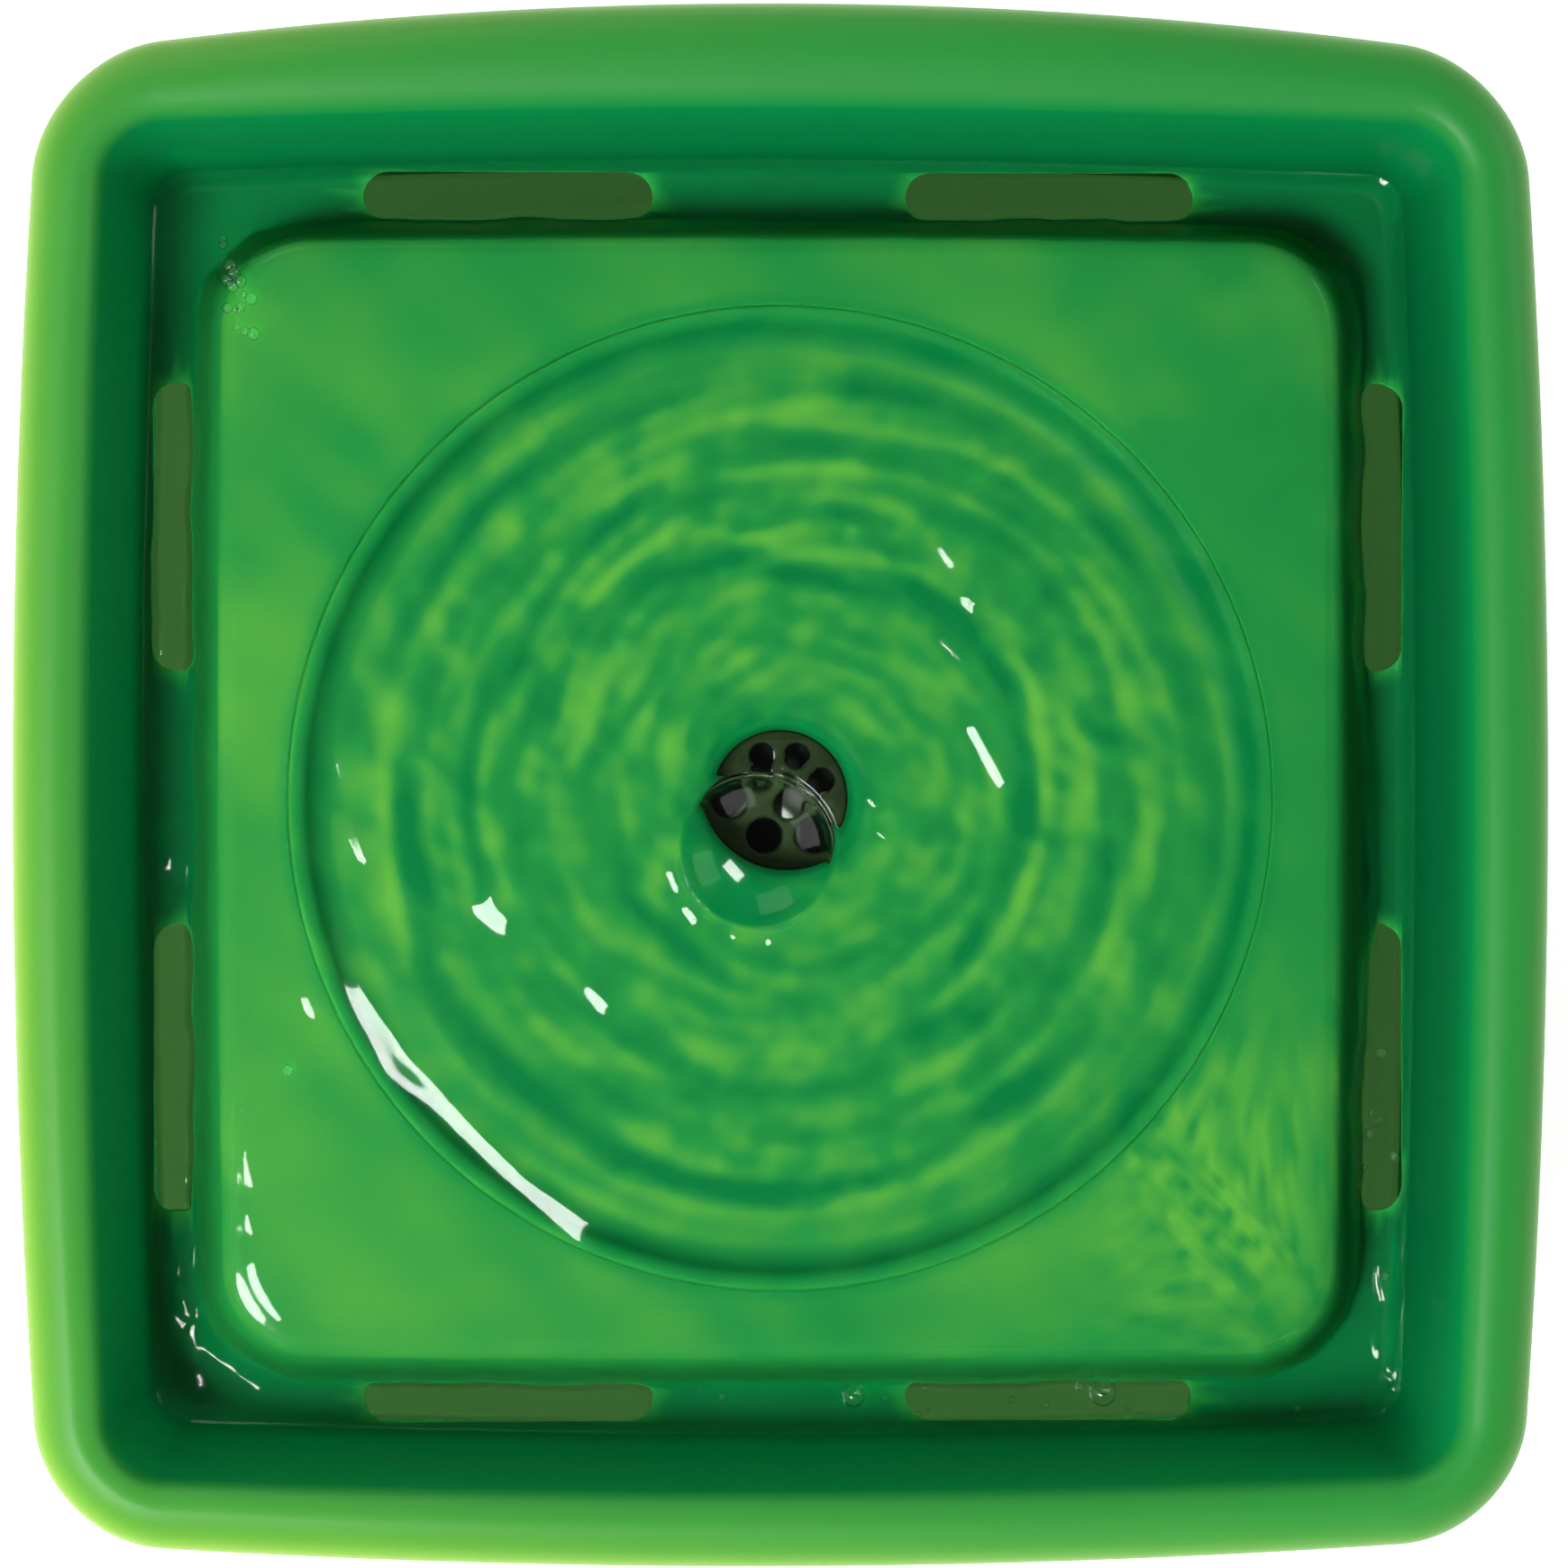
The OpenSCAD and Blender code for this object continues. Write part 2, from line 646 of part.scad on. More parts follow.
module dc_jack() {
    color(black) place() difference() {
        union() {
            translate([0, inlet_face + 0.8, inlet_z]) rotate([-90, 0, 0]) cylinder(r = 5.5, h = 1.4);
            translate([0, 116, inlet_z]) rotate([-90, 0, 0]) cylinder(r = 4, h = inlet_face - 115.2);
            box([-4.5, 109.8, inlet_z - 6], [4.5, 116, inlet_z + 4.5]);
        }
        translate([0, 113, inlet_z]) rotate([-90, 0, 0]) cylinder(r = socket_radius, h = 20);
    }
}

module jack_pin() {
    color("silver") place() translate([0, 113, inlet_z]) rotate([-90, 0, 0])
        cylinder(r = pin_radius, h = inlet_face - 112.5);
}

module jack_seal() {
    color([0.2, 0.2, 0.2]) place() translate([0, inlet_face, inlet_z]) rotate([-90, 0, 0])
        tube(5.5, 4.05, 0, 0.8);
}

module jack_nut() {
    color("silver") place() translate([0, inlet_face - 5.4, inlet_z]) rotate([-90, 0, 0])
        difference() {
            cylinder(r = 5.7, h = 2.4, $fn = 6);
            translate([0, 0, -1]) cylinder(r = 4.05, h = 5);
        }
}

tank();
foot(-1, -1);  // foot_front_left
foot(1, -1);  // foot_front_right
foot(-1, 1);  // foot_back_left
foot(1, 1);  // foot_back_right
bowl();
dish();
strainer();
filter_cup();
cup_gasket();
coarse_foam();
cartridge_frame();
carbon_bed();
fleece_pad();
riser_seal();
pump_body();
stator_core();
bobbin();
coil();
potting();
rear_bush();
front_bush();
rotor_shaft();
rotor_magnet();
impeller();
volute_cover();
flow_shutter();
intake_guard();
foam_block();
suction_cup(cup_places[0]);  // suction_cup_1
suction_cup(cup_places[1]);  // suction_cup_2
suction_cup(cup_places[2]);  // suction_cup_3
suction_cup(cup_places[3]);  // suction_cup_4
lead_gland();
lead();
dc_jack();
jack_pin();
jack_seal();
jack_nut();
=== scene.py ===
# A square pet drinking fountain, running: a green bowl with a round lift-out dish, water
# welling up through the spout and running back through eight slots, and the grey tank,
# the filter and the small pump that sit under it.
import math

import bmesh
import bpy
import numpy as np
from mathutils import Matrix, Vector


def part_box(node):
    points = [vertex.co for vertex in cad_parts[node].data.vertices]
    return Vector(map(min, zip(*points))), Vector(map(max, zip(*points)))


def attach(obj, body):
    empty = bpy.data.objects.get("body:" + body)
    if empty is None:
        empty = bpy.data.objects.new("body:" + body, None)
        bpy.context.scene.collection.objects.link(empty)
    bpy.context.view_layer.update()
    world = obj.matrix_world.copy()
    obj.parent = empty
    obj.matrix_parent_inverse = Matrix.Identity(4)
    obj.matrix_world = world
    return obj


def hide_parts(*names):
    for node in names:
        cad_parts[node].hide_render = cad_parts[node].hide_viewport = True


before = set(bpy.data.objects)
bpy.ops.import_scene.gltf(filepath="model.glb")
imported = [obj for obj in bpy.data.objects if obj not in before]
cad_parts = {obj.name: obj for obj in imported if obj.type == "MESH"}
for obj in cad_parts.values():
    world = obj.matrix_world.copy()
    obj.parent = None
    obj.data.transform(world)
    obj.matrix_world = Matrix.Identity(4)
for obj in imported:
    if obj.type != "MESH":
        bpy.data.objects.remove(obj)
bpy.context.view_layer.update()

# ---- Camera -------------------------------------------------------------------------
# Looks almost straight down into the bowl from arm's length above it, a little to the
# left and behind, and frames the lip edge to edge.
MM = 0.001
low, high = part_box("bowl")
lip_half = (high[0] - low[0]) / 2 / MM  # centre line to the lip's edge, mm
back_swell = (high[1] - low[1]) / MM - 2 * lip_half  # how much further the back swells
axis_y = -back_swell / 2  # the fountain's centre line stands this far from the origin
lip_top = high[2] / MM
camera_height = 900  # above the lip, mm
frame_width = 248.5  # what the frame takes in at the lip, mm
aim = (0.2, 0.35, lip_top - 8.5)

camera_data = bpy.data.cameras.new("camera")
camera = bpy.data.objects.new("camera", camera_data)
bpy.context.collection.objects.link(camera)
camera.location = (-22 * MM, 12 * MM, (lip_top + camera_height) * MM)
away = camera.location - Vector([v * MM for v in aim])
right = Vector((0, 1, 0)).cross(away).normalized()
upright = Matrix((right, away.normalized().cross(right), away.normalized())).transposed()
camera.rotation_euler = upright.to_euler()
camera_data.lens = camera_data.sensor_width * away.length / (frame_width * MM)
camera_data.clip_start = 0.01
bpy.context.scene.camera = camera


# ---- Lamps and floor ----------------------------------------------------------------
# A key softbox from the front left, high up, whose image makes the glints on the water,
# and weak wide panels all round. Nothing bright hangs overhead, so the greens stay deep.
def linear(code):
    """An sRGB hex colour as the linear one that shaders and lamps take."""
    parts = [int(code[i : i + 2], 16) / 255 for i in (1, 3, 5)]
    return tuple(
        c / 12.92 if c <= 0.04045 else ((c + 0.055) / 1.055) ** 2.4 for c in parts
    ) + (1.0,)


def add(tree, kind, inputs=None, **settings):
    """Adds a node with its settings, its input values and the links into it."""
    made = tree.nodes.new(kind)
    for name, value in settings.items():
        setattr(made, name, value)
    for key, value in (inputs or {}).items():
        if isinstance(value, bpy.types.NodeSocket):
            tree.links.new(value, made.inputs[key])
        else:
            made.inputs[key].default_value = value
    return made


dish_height = 0.08  # what the lamps look at, m over the floor


def softbox(name, azimuth, elevation, distance, size, power):
    """An area lamp, width and height in size, looking at the dish from an azimuth (0 is +X)."""
    data = bpy.data.lights.new(name, "AREA")
    data.shape, data.energy = "RECTANGLE", power
    data.size, data.size_y = size
    lamp = bpy.data.objects.new(name, data)
    a, e = math.radians(azimuth), math.radians(elevation)
    lamp.location = (
        distance * math.cos(e) * math.cos(a),
        distance * math.cos(e) * math.sin(a),
        distance * math.sin(e) + dish_height,
    )
    towards = Vector((0, 0, dish_height)) - lamp.location
    lamp.rotation_euler = towards.to_track_quat("-Z", "Y").to_euler()
    bpy.context.collection.objects.link(lamp)


softbox("key", 222, 56, 1.3, (0.52, 0.27), 16)
for k, power in enumerate((6.0, 5.5, 3.4, 3.4)):
    softbox(f"panel_{k}", 20 + 90 * k, 26, 1.6, (0.9, 0.9), power)

world = bpy.data.worlds.new("studio")
bpy.context.scene.world = world
world.use_nodes = True
world.node_tree.nodes.clear()
sight = add(world.node_tree, "ShaderNodeLightPath")
dim = add(world.node_tree, "ShaderNodeBackground", {"Color": linear("#e8eae9"), "Strength": 0.10})
pale = add(world.node_tree, "ShaderNodeBackground", {"Color": linear("#ffffff"), "Strength": 0.95})
seen = add(
    world.node_tree,
    "ShaderNodeMixShader",
    {0: sight.outputs["Is Camera Ray"], 1: dim.outputs[0], 2: pale.outputs[0]},
)
add(world.node_tree, "ShaderNodeOutputWorld", {"Surface": seen.outputs[0]})
bpy.context.scene.view_settings.view_transform = "Standard"


def material(name):
    """A new material with an empty tree."""
    made = bpy.data.materials.new(name)
    made.use_nodes = True
    made.node_tree.nodes.clear()
    return made, made.node_tree


# White paper sweep: it takes soft shadows and glows a little, so that it stays white.
floor_mat, tree = material("white_sweep")
paper = add(tree, "ShaderNodeBsdfDiffuse", {"Color": linear("#f4f4f2")})
lit = add(tree, "ShaderNodeEmission", {"Color": linear("#ffffff"), "Strength": 0.75})
both = add(tree, "ShaderNodeAddShader", {0: paper.outputs[0], 1: lit.outputs[0]})
add(tree, "ShaderNodeOutputMaterial", {"Surface": both.outputs[0]})
floor_mesh = bpy.data.meshes.new("floor")
reach = 6.0  # m from the middle to each edge
floor_mesh.from_pydata(
    [(-reach, -reach, 0), (reach, -reach, 0), (reach, reach, 0), (-reach, reach, 0)],
    [],
    [(0, 1, 2, 3)],
)
floor_mesh.materials.append(floor_mat)
floor = bpy.data.objects.new("floor", floor_mesh)
bpy.context.collection.objects.link(floor)


# ---- Bowl ---------------------------------------------------------------------------
# One injection moulding in green polypropylene, 2.5 mm thick: a rolled lip that hangs on
# the tank's rim, a sloping inner wall, a trough with eight drain slots, and a square
# platform with a round recess for the dish. The sides of every outline bow outwards.
def quarter(half, corner, side_steps, corner_steps):
    """One side and one corner of a rounded square, as two arrays."""
    t = np.linspace(-1, 1, side_steps, endpoint=False)
    a = np.linspace(0, math.pi / 2, corner_steps, endpoint=False)
    x = np.concatenate([np.full(side_steps, half), half - corner + corner * np.cos(a)])
    y = np.concatenate([(half - corner) * t, half - corner + corner * np.sin(a)])
    return x, y


def square_ring(row, side_steps=30, corner_steps=22):
    """A closed outline of points for [half-width, corner, bow, back swell, height], in mm."""
    middle, corner, bow, swell, z = row
    half = middle - bow
    x, y = quarter(half, corner, side_steps, corner_steps)
    xs = np.concatenate([x, -y, -x, y])
    ys = np.concatenate([y, x, -y, -x])
    bow_y = np.where(ys > 0, bow + swell, bow)
    out_x = xs + bow * xs / half * (1 - (ys / half) ** 2)
    out_y = ys + bow_y * ys / half * (1 - (xs / half) ** 2)
    return np.stack([out_x, out_y, np.full_like(xs, z)], axis=1)


def round_ring(radius, z, like):
    """A circle with its points in the same directions as another ring's."""
    flat = like[:, :2] / np.linalg.norm(like[:, :2], axis=1, keepdims=True) * radius
    return np.column_stack([flat, np.full(len(like), z)])


def smooth(rows, steps):
    """More rows along a curve through these ones that never swings past them."""
    p = np.array(rows, float)
    d = np.diff(p, axis=0)
    run = np.maximum(np.linalg.norm(d[:, [0, 4]], axis=1), 1e-6)[:, None]
    slope = d / run
    inner = np.where(
        slope[:-1] * slope[1:] > 0,
        2 * slope[:-1] * slope[1:] / (slope[:-1] + slope[1:] + 1e-12),
        0,
    )
    tangent = np.vstack([slope[:1], inner, slope[-1:]])
    out = []
    for k in range(len(p) - 1):
        for t in np.linspace(0, 1, steps, endpoint=False):
            a, b = t * t * (3 - 2 * t), t * (1 - t) ** 2
            c = -t * t * (1 - t)
            out.append(p[k] * (1 - a) + p[k + 1] * a + run[k] * (tangent[k] * b + tangent[k + 1] * c))
    return out + [p[-1]]


def between(first, last, steps):
    """Rings that pass from one ring to another in a straight line, ends left out."""
    return [first + (last - first) * k / steps for k in range(1, steps)]


def mesh_object(name, points, faces, mat):
    """A smooth-shaded object from points in mm about the fountain's centre line."""
    mesh = bpy.data.meshes.new(name)
    placed = (np.asarray(points, float) + (0, axis_y, 0)) * MM
    mesh.from_pydata(placed.tolist(), [], faces)
    mesh.materials.append(mat)
    mesh.shade_smooth()
    made = bpy.data.objects.new(name, mesh)
    bpy.context.collection.objects.link(made)
    return made


def skin_faces(count, around, closed=True):
    """Quads between rings of around points each; closed joins the last ring to the first."""
    faces = []
    for k in range(count if closed else count - 1):
        a, b = k * around, (k + 1) % count * around
        for i in range(around):
            j = (i + 1) % around
            faces.append((a + i, a + j, b + j, b + i))
    return faces


wall = 2.5
opening_half, trough_half, platform_half = 109, 102, 92.6
trough_floor, platform_top = 66, 80
platform_corner = 15
lip_corner, lip_bow = 19, 4.5
skirt_foot = low[2] / MM if low[2] > 0.08 else lip_top - 13
ledge_z = platform_top - 10
dish_low, dish_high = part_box("dish")
dish_radius = (dish_high[0] - dish_low[0]) / 2 / MM
recess_radius = dish_radius + 0.12
ledge_radius = 72  # the dish rests on the ledge from here out to the recess's wall

outside = [
    [lip_half - 0.25, lip_corner - 0.2, lip_bow, back_swell, skirt_foot],
    [lip_half, lip_corner, lip_bow, back_swell, lip_top - 8.5],
    [lip_half - 0.8, lip_corner - 0.6, lip_bow, back_swell, lip_top - 4.5],
    [lip_half - 2.8, lip_corner - 2.2, lip_bow, back_swell, lip_top - 1.7],
    [lip_half - 5, lip_corner - 4, lip_bow - 0.1, back_swell - 0.6, lip_top - 0.4],
    [lip_half - 7.2, lip_corner - 5.8, lip_bow - 0.4, back_swell - 1.5, lip_top],
    [opening_half + 3, 11, lip_bow - 0.9, 1.6, lip_top - 0.5],
    [opening_half + 1.2, 9.6, lip_bow - 1.4, 0.5, lip_top - 1.7],
    [opening_half, 8.6, 2.8, 0, lip_top - 3.8],
    [trough_half + 2.8, 6.6, 2.6, 0, trough_floor + 12],
    [trough_half + 0.5, 5.2, 2.5, 0, trough_floor + 2.2],
    [trough_half - 0.4, 4.6, 2.5, 0, trough_floor + 0.6],
    [trough_half - 1.6, 4.0, 2.5, 0, trough_floor],
    [platform_half + 1, platform_corner + 1, 1, 0, trough_floor],
    [platform_half, platform_corner, 1, 0, trough_floor + 1],
    [platform_half - 1, platform_corner - 0.5, 1, 0, platform_top - 4.5],
    [platform_half - 1.9, platform_corner - 1, 1, 0, platform_top - 1.9],
    [platform_half - 3.3, platform_corner - 1.6, 0.8, 0, platform_top - 0.5],
    [platform_half - 5, platform_corner - 2.6, 0.5, 0, platform_top],
]
underneath = [
    [platform_half - 6.4, platform_corner - 4, 0.5, 0, platform_top - wall],
    [platform_half - 3.6, platform_corner - 2.5, 1, 0, platform_top - 5.5],
    [platform_half - 2.1, platform_corner - 1.6, 1, 0, trough_floor - wall],
    [trough_half + 2, 6.4, 2.5, 0, trough_floor - wall],
    [trough_half + 3.2, 7.4, 2.5, 0, trough_floor + 2],
    [trough_half + 5.2, 8.8, 2.6, 0, trough_floor + 12],
    [opening_half + 2.3, 10.8, 2.9, 0, lip_top - 6.4],
    [opening_half + 3.4, 11.6, 3.2, 0.6, lip_top - 4],
    [lip_half - 3.7, lip_corner - 3, lip_bow, back_swell - 0.2, lip_top - 4],
    [lip_half - 2.7, lip_corner - 2.2, lip_bow, back_swell, lip_top - 5.6],
    [lip_half - 2.7, lip_corner - 2.2, lip_bow, back_swell, skirt_foot],
]
top_steps = 5  # rings from each row of the list above to the next
flat_steps = 18  # rings across the flat top of the platform
top_rows = smooth(outside, top_steps)
rings = [square_ring(row) for row in top_rows]
edge_ring = rings[-1]
rim_ring = round_ring(recess_radius + 0.3, platform_top, edge_ring)
rings += between(edge_ring, rim_ring, flat_steps) + [rim_ring]
for radius, z in (
    (recess_radius, platform_top - 0.3),
    (recess_radius, ledge_z),
    (ledge_radius, ledge_z),
    (ledge_radius, ledge_z - wall),
    (recess_radius + wall, ledge_z - wall),
    (recess_radius + wall, platform_top - wall),
):
    rings.append(round_ring(radius, z, edge_ring))
rings += [square_ring(row) for row in smooth(underneath, 2)]
around = len(edge_ring)


def rough(coords, seed, size, count=26):
    """Even random waves of about one size, in two or three directions: mean 0, spread 1."""
    draw = np.random.default_rng(seed)
    total = 0.0
    for _ in range(count):
        way = draw.normal(size=len(coords))
        way *= 2 * math.pi / size * draw.uniform(0.6, 1.5) / np.linalg.norm(way)
        total = total + np.cos(sum(w * c for w, c in zip(way, coords)) + draw.uniform(0, 6.3))
    return total / math.sqrt(count / 2)


# The moving water's surface, as a height over its still level at places x and y in mm
# from the centre line. It makes both the water and the bands of light that it throws.
# Where a wavelet stands up: its line, its height and its half-breadth, all in mm. A third
# number in a point of the line makes the wavelet taller and broader there, or less so.
crests = [
    (
        [(-70, -19.5, 0.45), (-66.5, -29.5, 0.65), (-58.6, -40.2, 1.1)]
        + [(-50, -50.8, 0.6), (-40, -61, 0.5), (-30, -67.5, 0.85)],
        1.34,
        3.1,
    ),
    ([(-86.2, -48.5), (-84.2, -54)], 0.70, 1.7),
    ([(-85.4, -57), (-82.4, -63)], 0.76, 1.95),
    ([(-84.8, -66.5), (-82, -71.5)], 0.70, 1.8),
    ([(-83.8, -74.5), (-79.6, -82)], 0.86, 2.25),
    ([(27.2, 41.6), (28.8, 38.8)], 1.12, 2.0),
    ([(35.6, 35.6), (37.4, 31.8)], 1.0, 1.8),
    ([(30.6, 32.3), (31.4, 31.6)], 0.6, 1.1),
    ([(26.6, 26), (29.4, 23.2)], 0.71, 1.3),
    ([(36.0, 18.6), (37.2, 15.8)], 1.0, 1.8),
    ([(32, 12), (36.6, 3.6)], 0.98, 1.75),
    ([(-46, -16.2), (-43.4, -18.4)], 1.04, 2.3),
    ([(-46.8, -12.6), (-46.2, -14.2)], 0.55, 1.2),
    ([(-29.2, -29.8), (-27.4, -32)], 0.80, 1.85),
    ([(-75.2, -31), (-74.2, -33.6)], 0.55, 1.35),
    ([(-16.8, -11.4), (-16.0, -13.6)], 0.55, 1.1),
    ([(-14.4, -17.2), (-13.2, -18.8)], 0.5, 1.05),
    ([(-7, -21.6), (-5, -22.3)], 0.42, 0.9),
    ([(-1.2, -22.4), (0.8, -22.8)], 0.5, 1.0),
    ([(14.6, 0.4), (15.6, -0.6)], 0.42, 0.85),
    ([(16, -5), (17.4, -6)], 0.36, 0.75),
    ([(3, 15), (4, 14.4)], 0.36, 0.8),
    ([(-70, 7), (-67.5, 2), (-68.5, -3), (-66, -9)], 0.5, 1.15),
    ([(-5.5, 77.5), (10, 80.5), (26, 88)], 0.25, 1.6),
]
hollows = [  # long shallow troughs between the ripples: radius, bearings and depth
    (39, -60, 145, 1.0), (61.5, 165, 325, 1.15), (50, 90, 215, 0.6), (29, 150, 255, 0.55),
    (53, -65, 55, 0.55), (67, -30, 95, 0.5), (47, 215, 330, 0.5), (66, 95, 165, 0.6),
    (33, 255, 350, 0.45), (58, 20, 110, 0.4), (43, 150, 220, 0.5), (54, 225, 300, 0.35),
]


def from_line(x, y, line):
    """How far places are from a line through points, and how far along it, 0 to 1."""
    best, along = np.full(np.shape(x), 1e6), np.zeros(np.shape(x))
    for k in range(len(line) - 1):
        (ax, ay), (bx, by) = line[k][:2], line[k + 1][:2]
        t = ((x - ax) * (bx - ax) + (y - ay) * (by - ay)) / ((bx - ax) ** 2 + (by - ay) ** 2)
        t = np.clip(t, 0, 1)
        off = np.hypot(x - ax - t * (bx - ax), y - ay - t * (by - ay))
        along = np.where(off < best, (k + t) / (len(line) - 1), along)
        best = np.minimum(best, off)
    return best, along


def between_bearings(bearing, start, stop):
    """1 well between two bearings in degrees, easing to 0 at both ends."""
    middle, half = (start + stop) / 2, (stop - start) / 2
    off = np.abs((bearing - middle + 180) % 360 - 180)
    return np.clip((half - off) / 18, 0, 1)


def ripples(x, y):
    """The ring ripples and the long hollows, each about -1 to 1, with their swirl."""
    r = np.hypot(x, y)
    cosine, sine = x / (r + 1e-6), y / (r + 1e-6)
    swirl = rough((cosine * 9, sine * 9, r * 0.18), 3, 9)
    broken = np.clip(0.55 + 0.4 * rough((x, y), 8, 40), 0.1, 1.2)
    fade = np.clip((r - 16) / 14, 0, 1) * np.clip((79 - r) / 8, 0, 1)
    spread = fade * broken * np.sin(2 * math.pi * (r - 3.5) / 13.8 + 1.1 * swirl)
    dips = np.zeros(np.shape(x))
    bearing = np.degrees(np.arctan2(y, x))
    for radius, start, stop, deep in hollows:
        window = between_bearings(bearing, start, stop)
        off = r - radius - 1.1 * swirl
        dips += deep * window * (np.exp(-((off / 2.2) ** 2)) - 0.45 * np.exp(-(((off - 4) / 1.4) ** 2)))
    return spread, dips, fade


def streaks(x, y):
    """Fine threads that fan outwards from the spout, leaning with the swirl."""
    r = np.hypot(x, y)
    turn = np.arctan2(y, x) + r / 90
    threads = rough((np.cos(turn) * 60, np.sin(turn) * 60, r * 0.5), 11, 9)
    return threads * np.clip((r - 34) / 20, 0, 1) * np.clip((84 - r) / 8, 0, 1)


def waves(x, y):
    """Height of the dish's and the platform's water over its still level, in mm."""
    spread, dips, fade = ripples(x, y)
    height = 0.12 * spread - 0.16 * dips + 0.05 * rough((x, y), 5, 12) * fade
    height = height + 0.018 * streaks(x, y)
    for line, tall, breadth in crests:
        off, along = from_line(x, y, line)
        sizes = [point[2] if len(point) > 2 else 1 for point in line]
        part = np.interp(along, np.linspace(0, 1, len(line)), sizes)
        height = height + tall * part * np.exp(-(off**2) / (2 * (breadth * part) ** 2))
    return height


def light_bands(x, y):
    """How much light the ripples gather on what lies under them: 0.5 is even light."""
    spread, dips, fade = ripples(x, y)
    r = np.hypot(x, y)
    turn = np.arctan2(y, x) + r / 38
    curls = rough((np.cos(turn) * 17, np.sin(turn) * 17, r * 1.7), 43, 8)
    mottle = rough((x, y), 5, 12) + 0.7 * rough((x, y), 41, 6) + 1.5 * curls
    reach = np.clip((76 - r) / 14, 0, 1) * np.clip((r - 9) / 5, 0, 1)
    glow = 0.57 + 0.10 * spread - 0.42 * dips + 0.05 * mottle * reach + 0.055 * streaks(x, y)
    for px, py, size in ((-66, 0, 5), (-40, 60, 4), (38, 54, 5), (8, 66, 4), (50, 12, 9), (30, -14, 7)):
        spot = np.exp(-((x - px) ** 2 + (y - py) ** 2) / (2 * size**2))
        glow = glow + 0.20 * spot * (0.7 + 0.35 * rough((x, y), 42, 6.5))
    return glow


def painted_light_patches(x, y):
    """Painted light: lighter to the front left, a bright patch at the front right, and random areas."""
    tone = 0.555 - 0.0005 * x - 0.0002 * y + 0.05 * rough((x, y), 21, 60) + 0.03 * rough((x, y), 22, 16)
    corner = np.exp(-(((x - 70) / 19) ** 2) - (((y + 62) / 24) ** 2))
    flecks = 0.45 + 0.28 * rough((x, y * 1.6), 23, 7) + 0.14 * rough((x, y * 1.6), 24, 3.4)
    return np.clip(tone + 0.50 * corner * flecks, 0, 1)


def paint(made, name, values):
    """Stores one number per point, for the material to read."""
    layer = made.data.attributes.new(name, "FLOAT", "POINT")
    layer.data.foreach_set("value", np.asarray(values, dtype=np.float32))


# Translucent green polypropylene, injection moulded with a satin face. Its lime at the lip's
# edge is a painted glow, for light shining through the thin edge, and painted shade turns it
# deep teal down the walls and in the trough. The grain of its skin is about 1 mm, and the
# clouding in the moulding about 55 mm.
green_mat, tree = material("green_polypropylene")
place = add(tree, "ShaderNodeTexCoord")
grain = add(
    tree,
    "ShaderNodeTexNoise",
    {"Vector": place.outputs["Object"], "Scale": 900.0, "Detail": 3.0},
)
cloud = add(
    tree,
    "ShaderNodeTexNoise",
    {"Vector": place.outputs["Object"], "Scale": 18.0, "Detail": 2.0},
)
height_of = add(tree, "ShaderNodeSeparateXYZ", {"Vector": place.outputs["Object"]})
# painted shade: below the lip's rim the inner walls are painted a deeper teal
down = add(
    tree,
    "ShaderNodeMapRange",
    {
        "Value": height_of.outputs["Z"],
        "From Min": (lip_top - 1.0) * MM,
        "From Max": (lip_top - 3.8) * MM,
    },
)
# painted glow: how much lime is painted on near the lip's edge
painted_lip_glow = add(tree, "ShaderNodeAttribute", attribute_name="edge")
bands = add(tree, "ShaderNodeAttribute", attribute_name="bands")
inside = add(tree, "ShaderNodeAttribute", attribute_name="inside")
deep = add(
    tree,
    "ShaderNodeMath",
    {0: down.outputs[0], 1: inside.outputs["Fac"]},
    operation="MULTIPLY",
)
# painted light and shade of the ripples: dark teal where little light falls, lime where much
lit_bands = add(tree, "ShaderNodeValToRGB", {"Fac": bands.outputs["Fac"]})
ramp = lit_bands.color_ramp
ramp.elements[0].position, ramp.elements[0].color = 0.12, linear("#01743d")
ramp.elements[1].position, ramp.elements[1].color = 0.95, linear("#62aa42")
middle = ramp.elements.new(0.5)
middle.color = linear("#248a42")
lip_tint = add(
    tree,
    "ShaderNodeMix",
    {0: cloud.outputs["Fac"], "A": linear("#2ca44a"), "B": linear("#36ac4b")},
    data_type="RGBA",
)
painted_edge_glow_tint = add(
    tree,
    "ShaderNodeMix",
    {0: painted_lip_glow.outputs["Fac"], 6: lip_tint.outputs[2], 7: linear("#a6de34")},
    data_type="RGBA",
)
walls = add(
    tree,
    "ShaderNodeMix",
    {0: deep.outputs[0], 6: painted_edge_glow_tint.outputs[2], 7: linear("#03a257")},
    data_type="RGBA",
)
platform_mask = add(tree, "ShaderNodeAttribute", attribute_name="platform")
colour = add(
    tree,
    "ShaderNodeMix",
    {0: platform_mask.outputs["Fac"], 6: walls.outputs[2], 7: lit_bands.outputs["Color"]},
    data_type="RGBA",
)
bump = add(
    tree,
    "ShaderNodeBump",
    {"Height": grain.outputs["Fac"], "Strength": 0.12, "Distance": 0.00008},
)
# painted shade: how far the colour is darkened towards deep green
painted_shade = add(tree, "ShaderNodeAttribute", attribute_name="painted_shade")
shaded = add(
    tree,
    "ShaderNodeMix",
    {0: painted_shade.outputs["Fac"], 6: colour.outputs[2], 7: linear("#02522c")},
    data_type="RGBA",
)
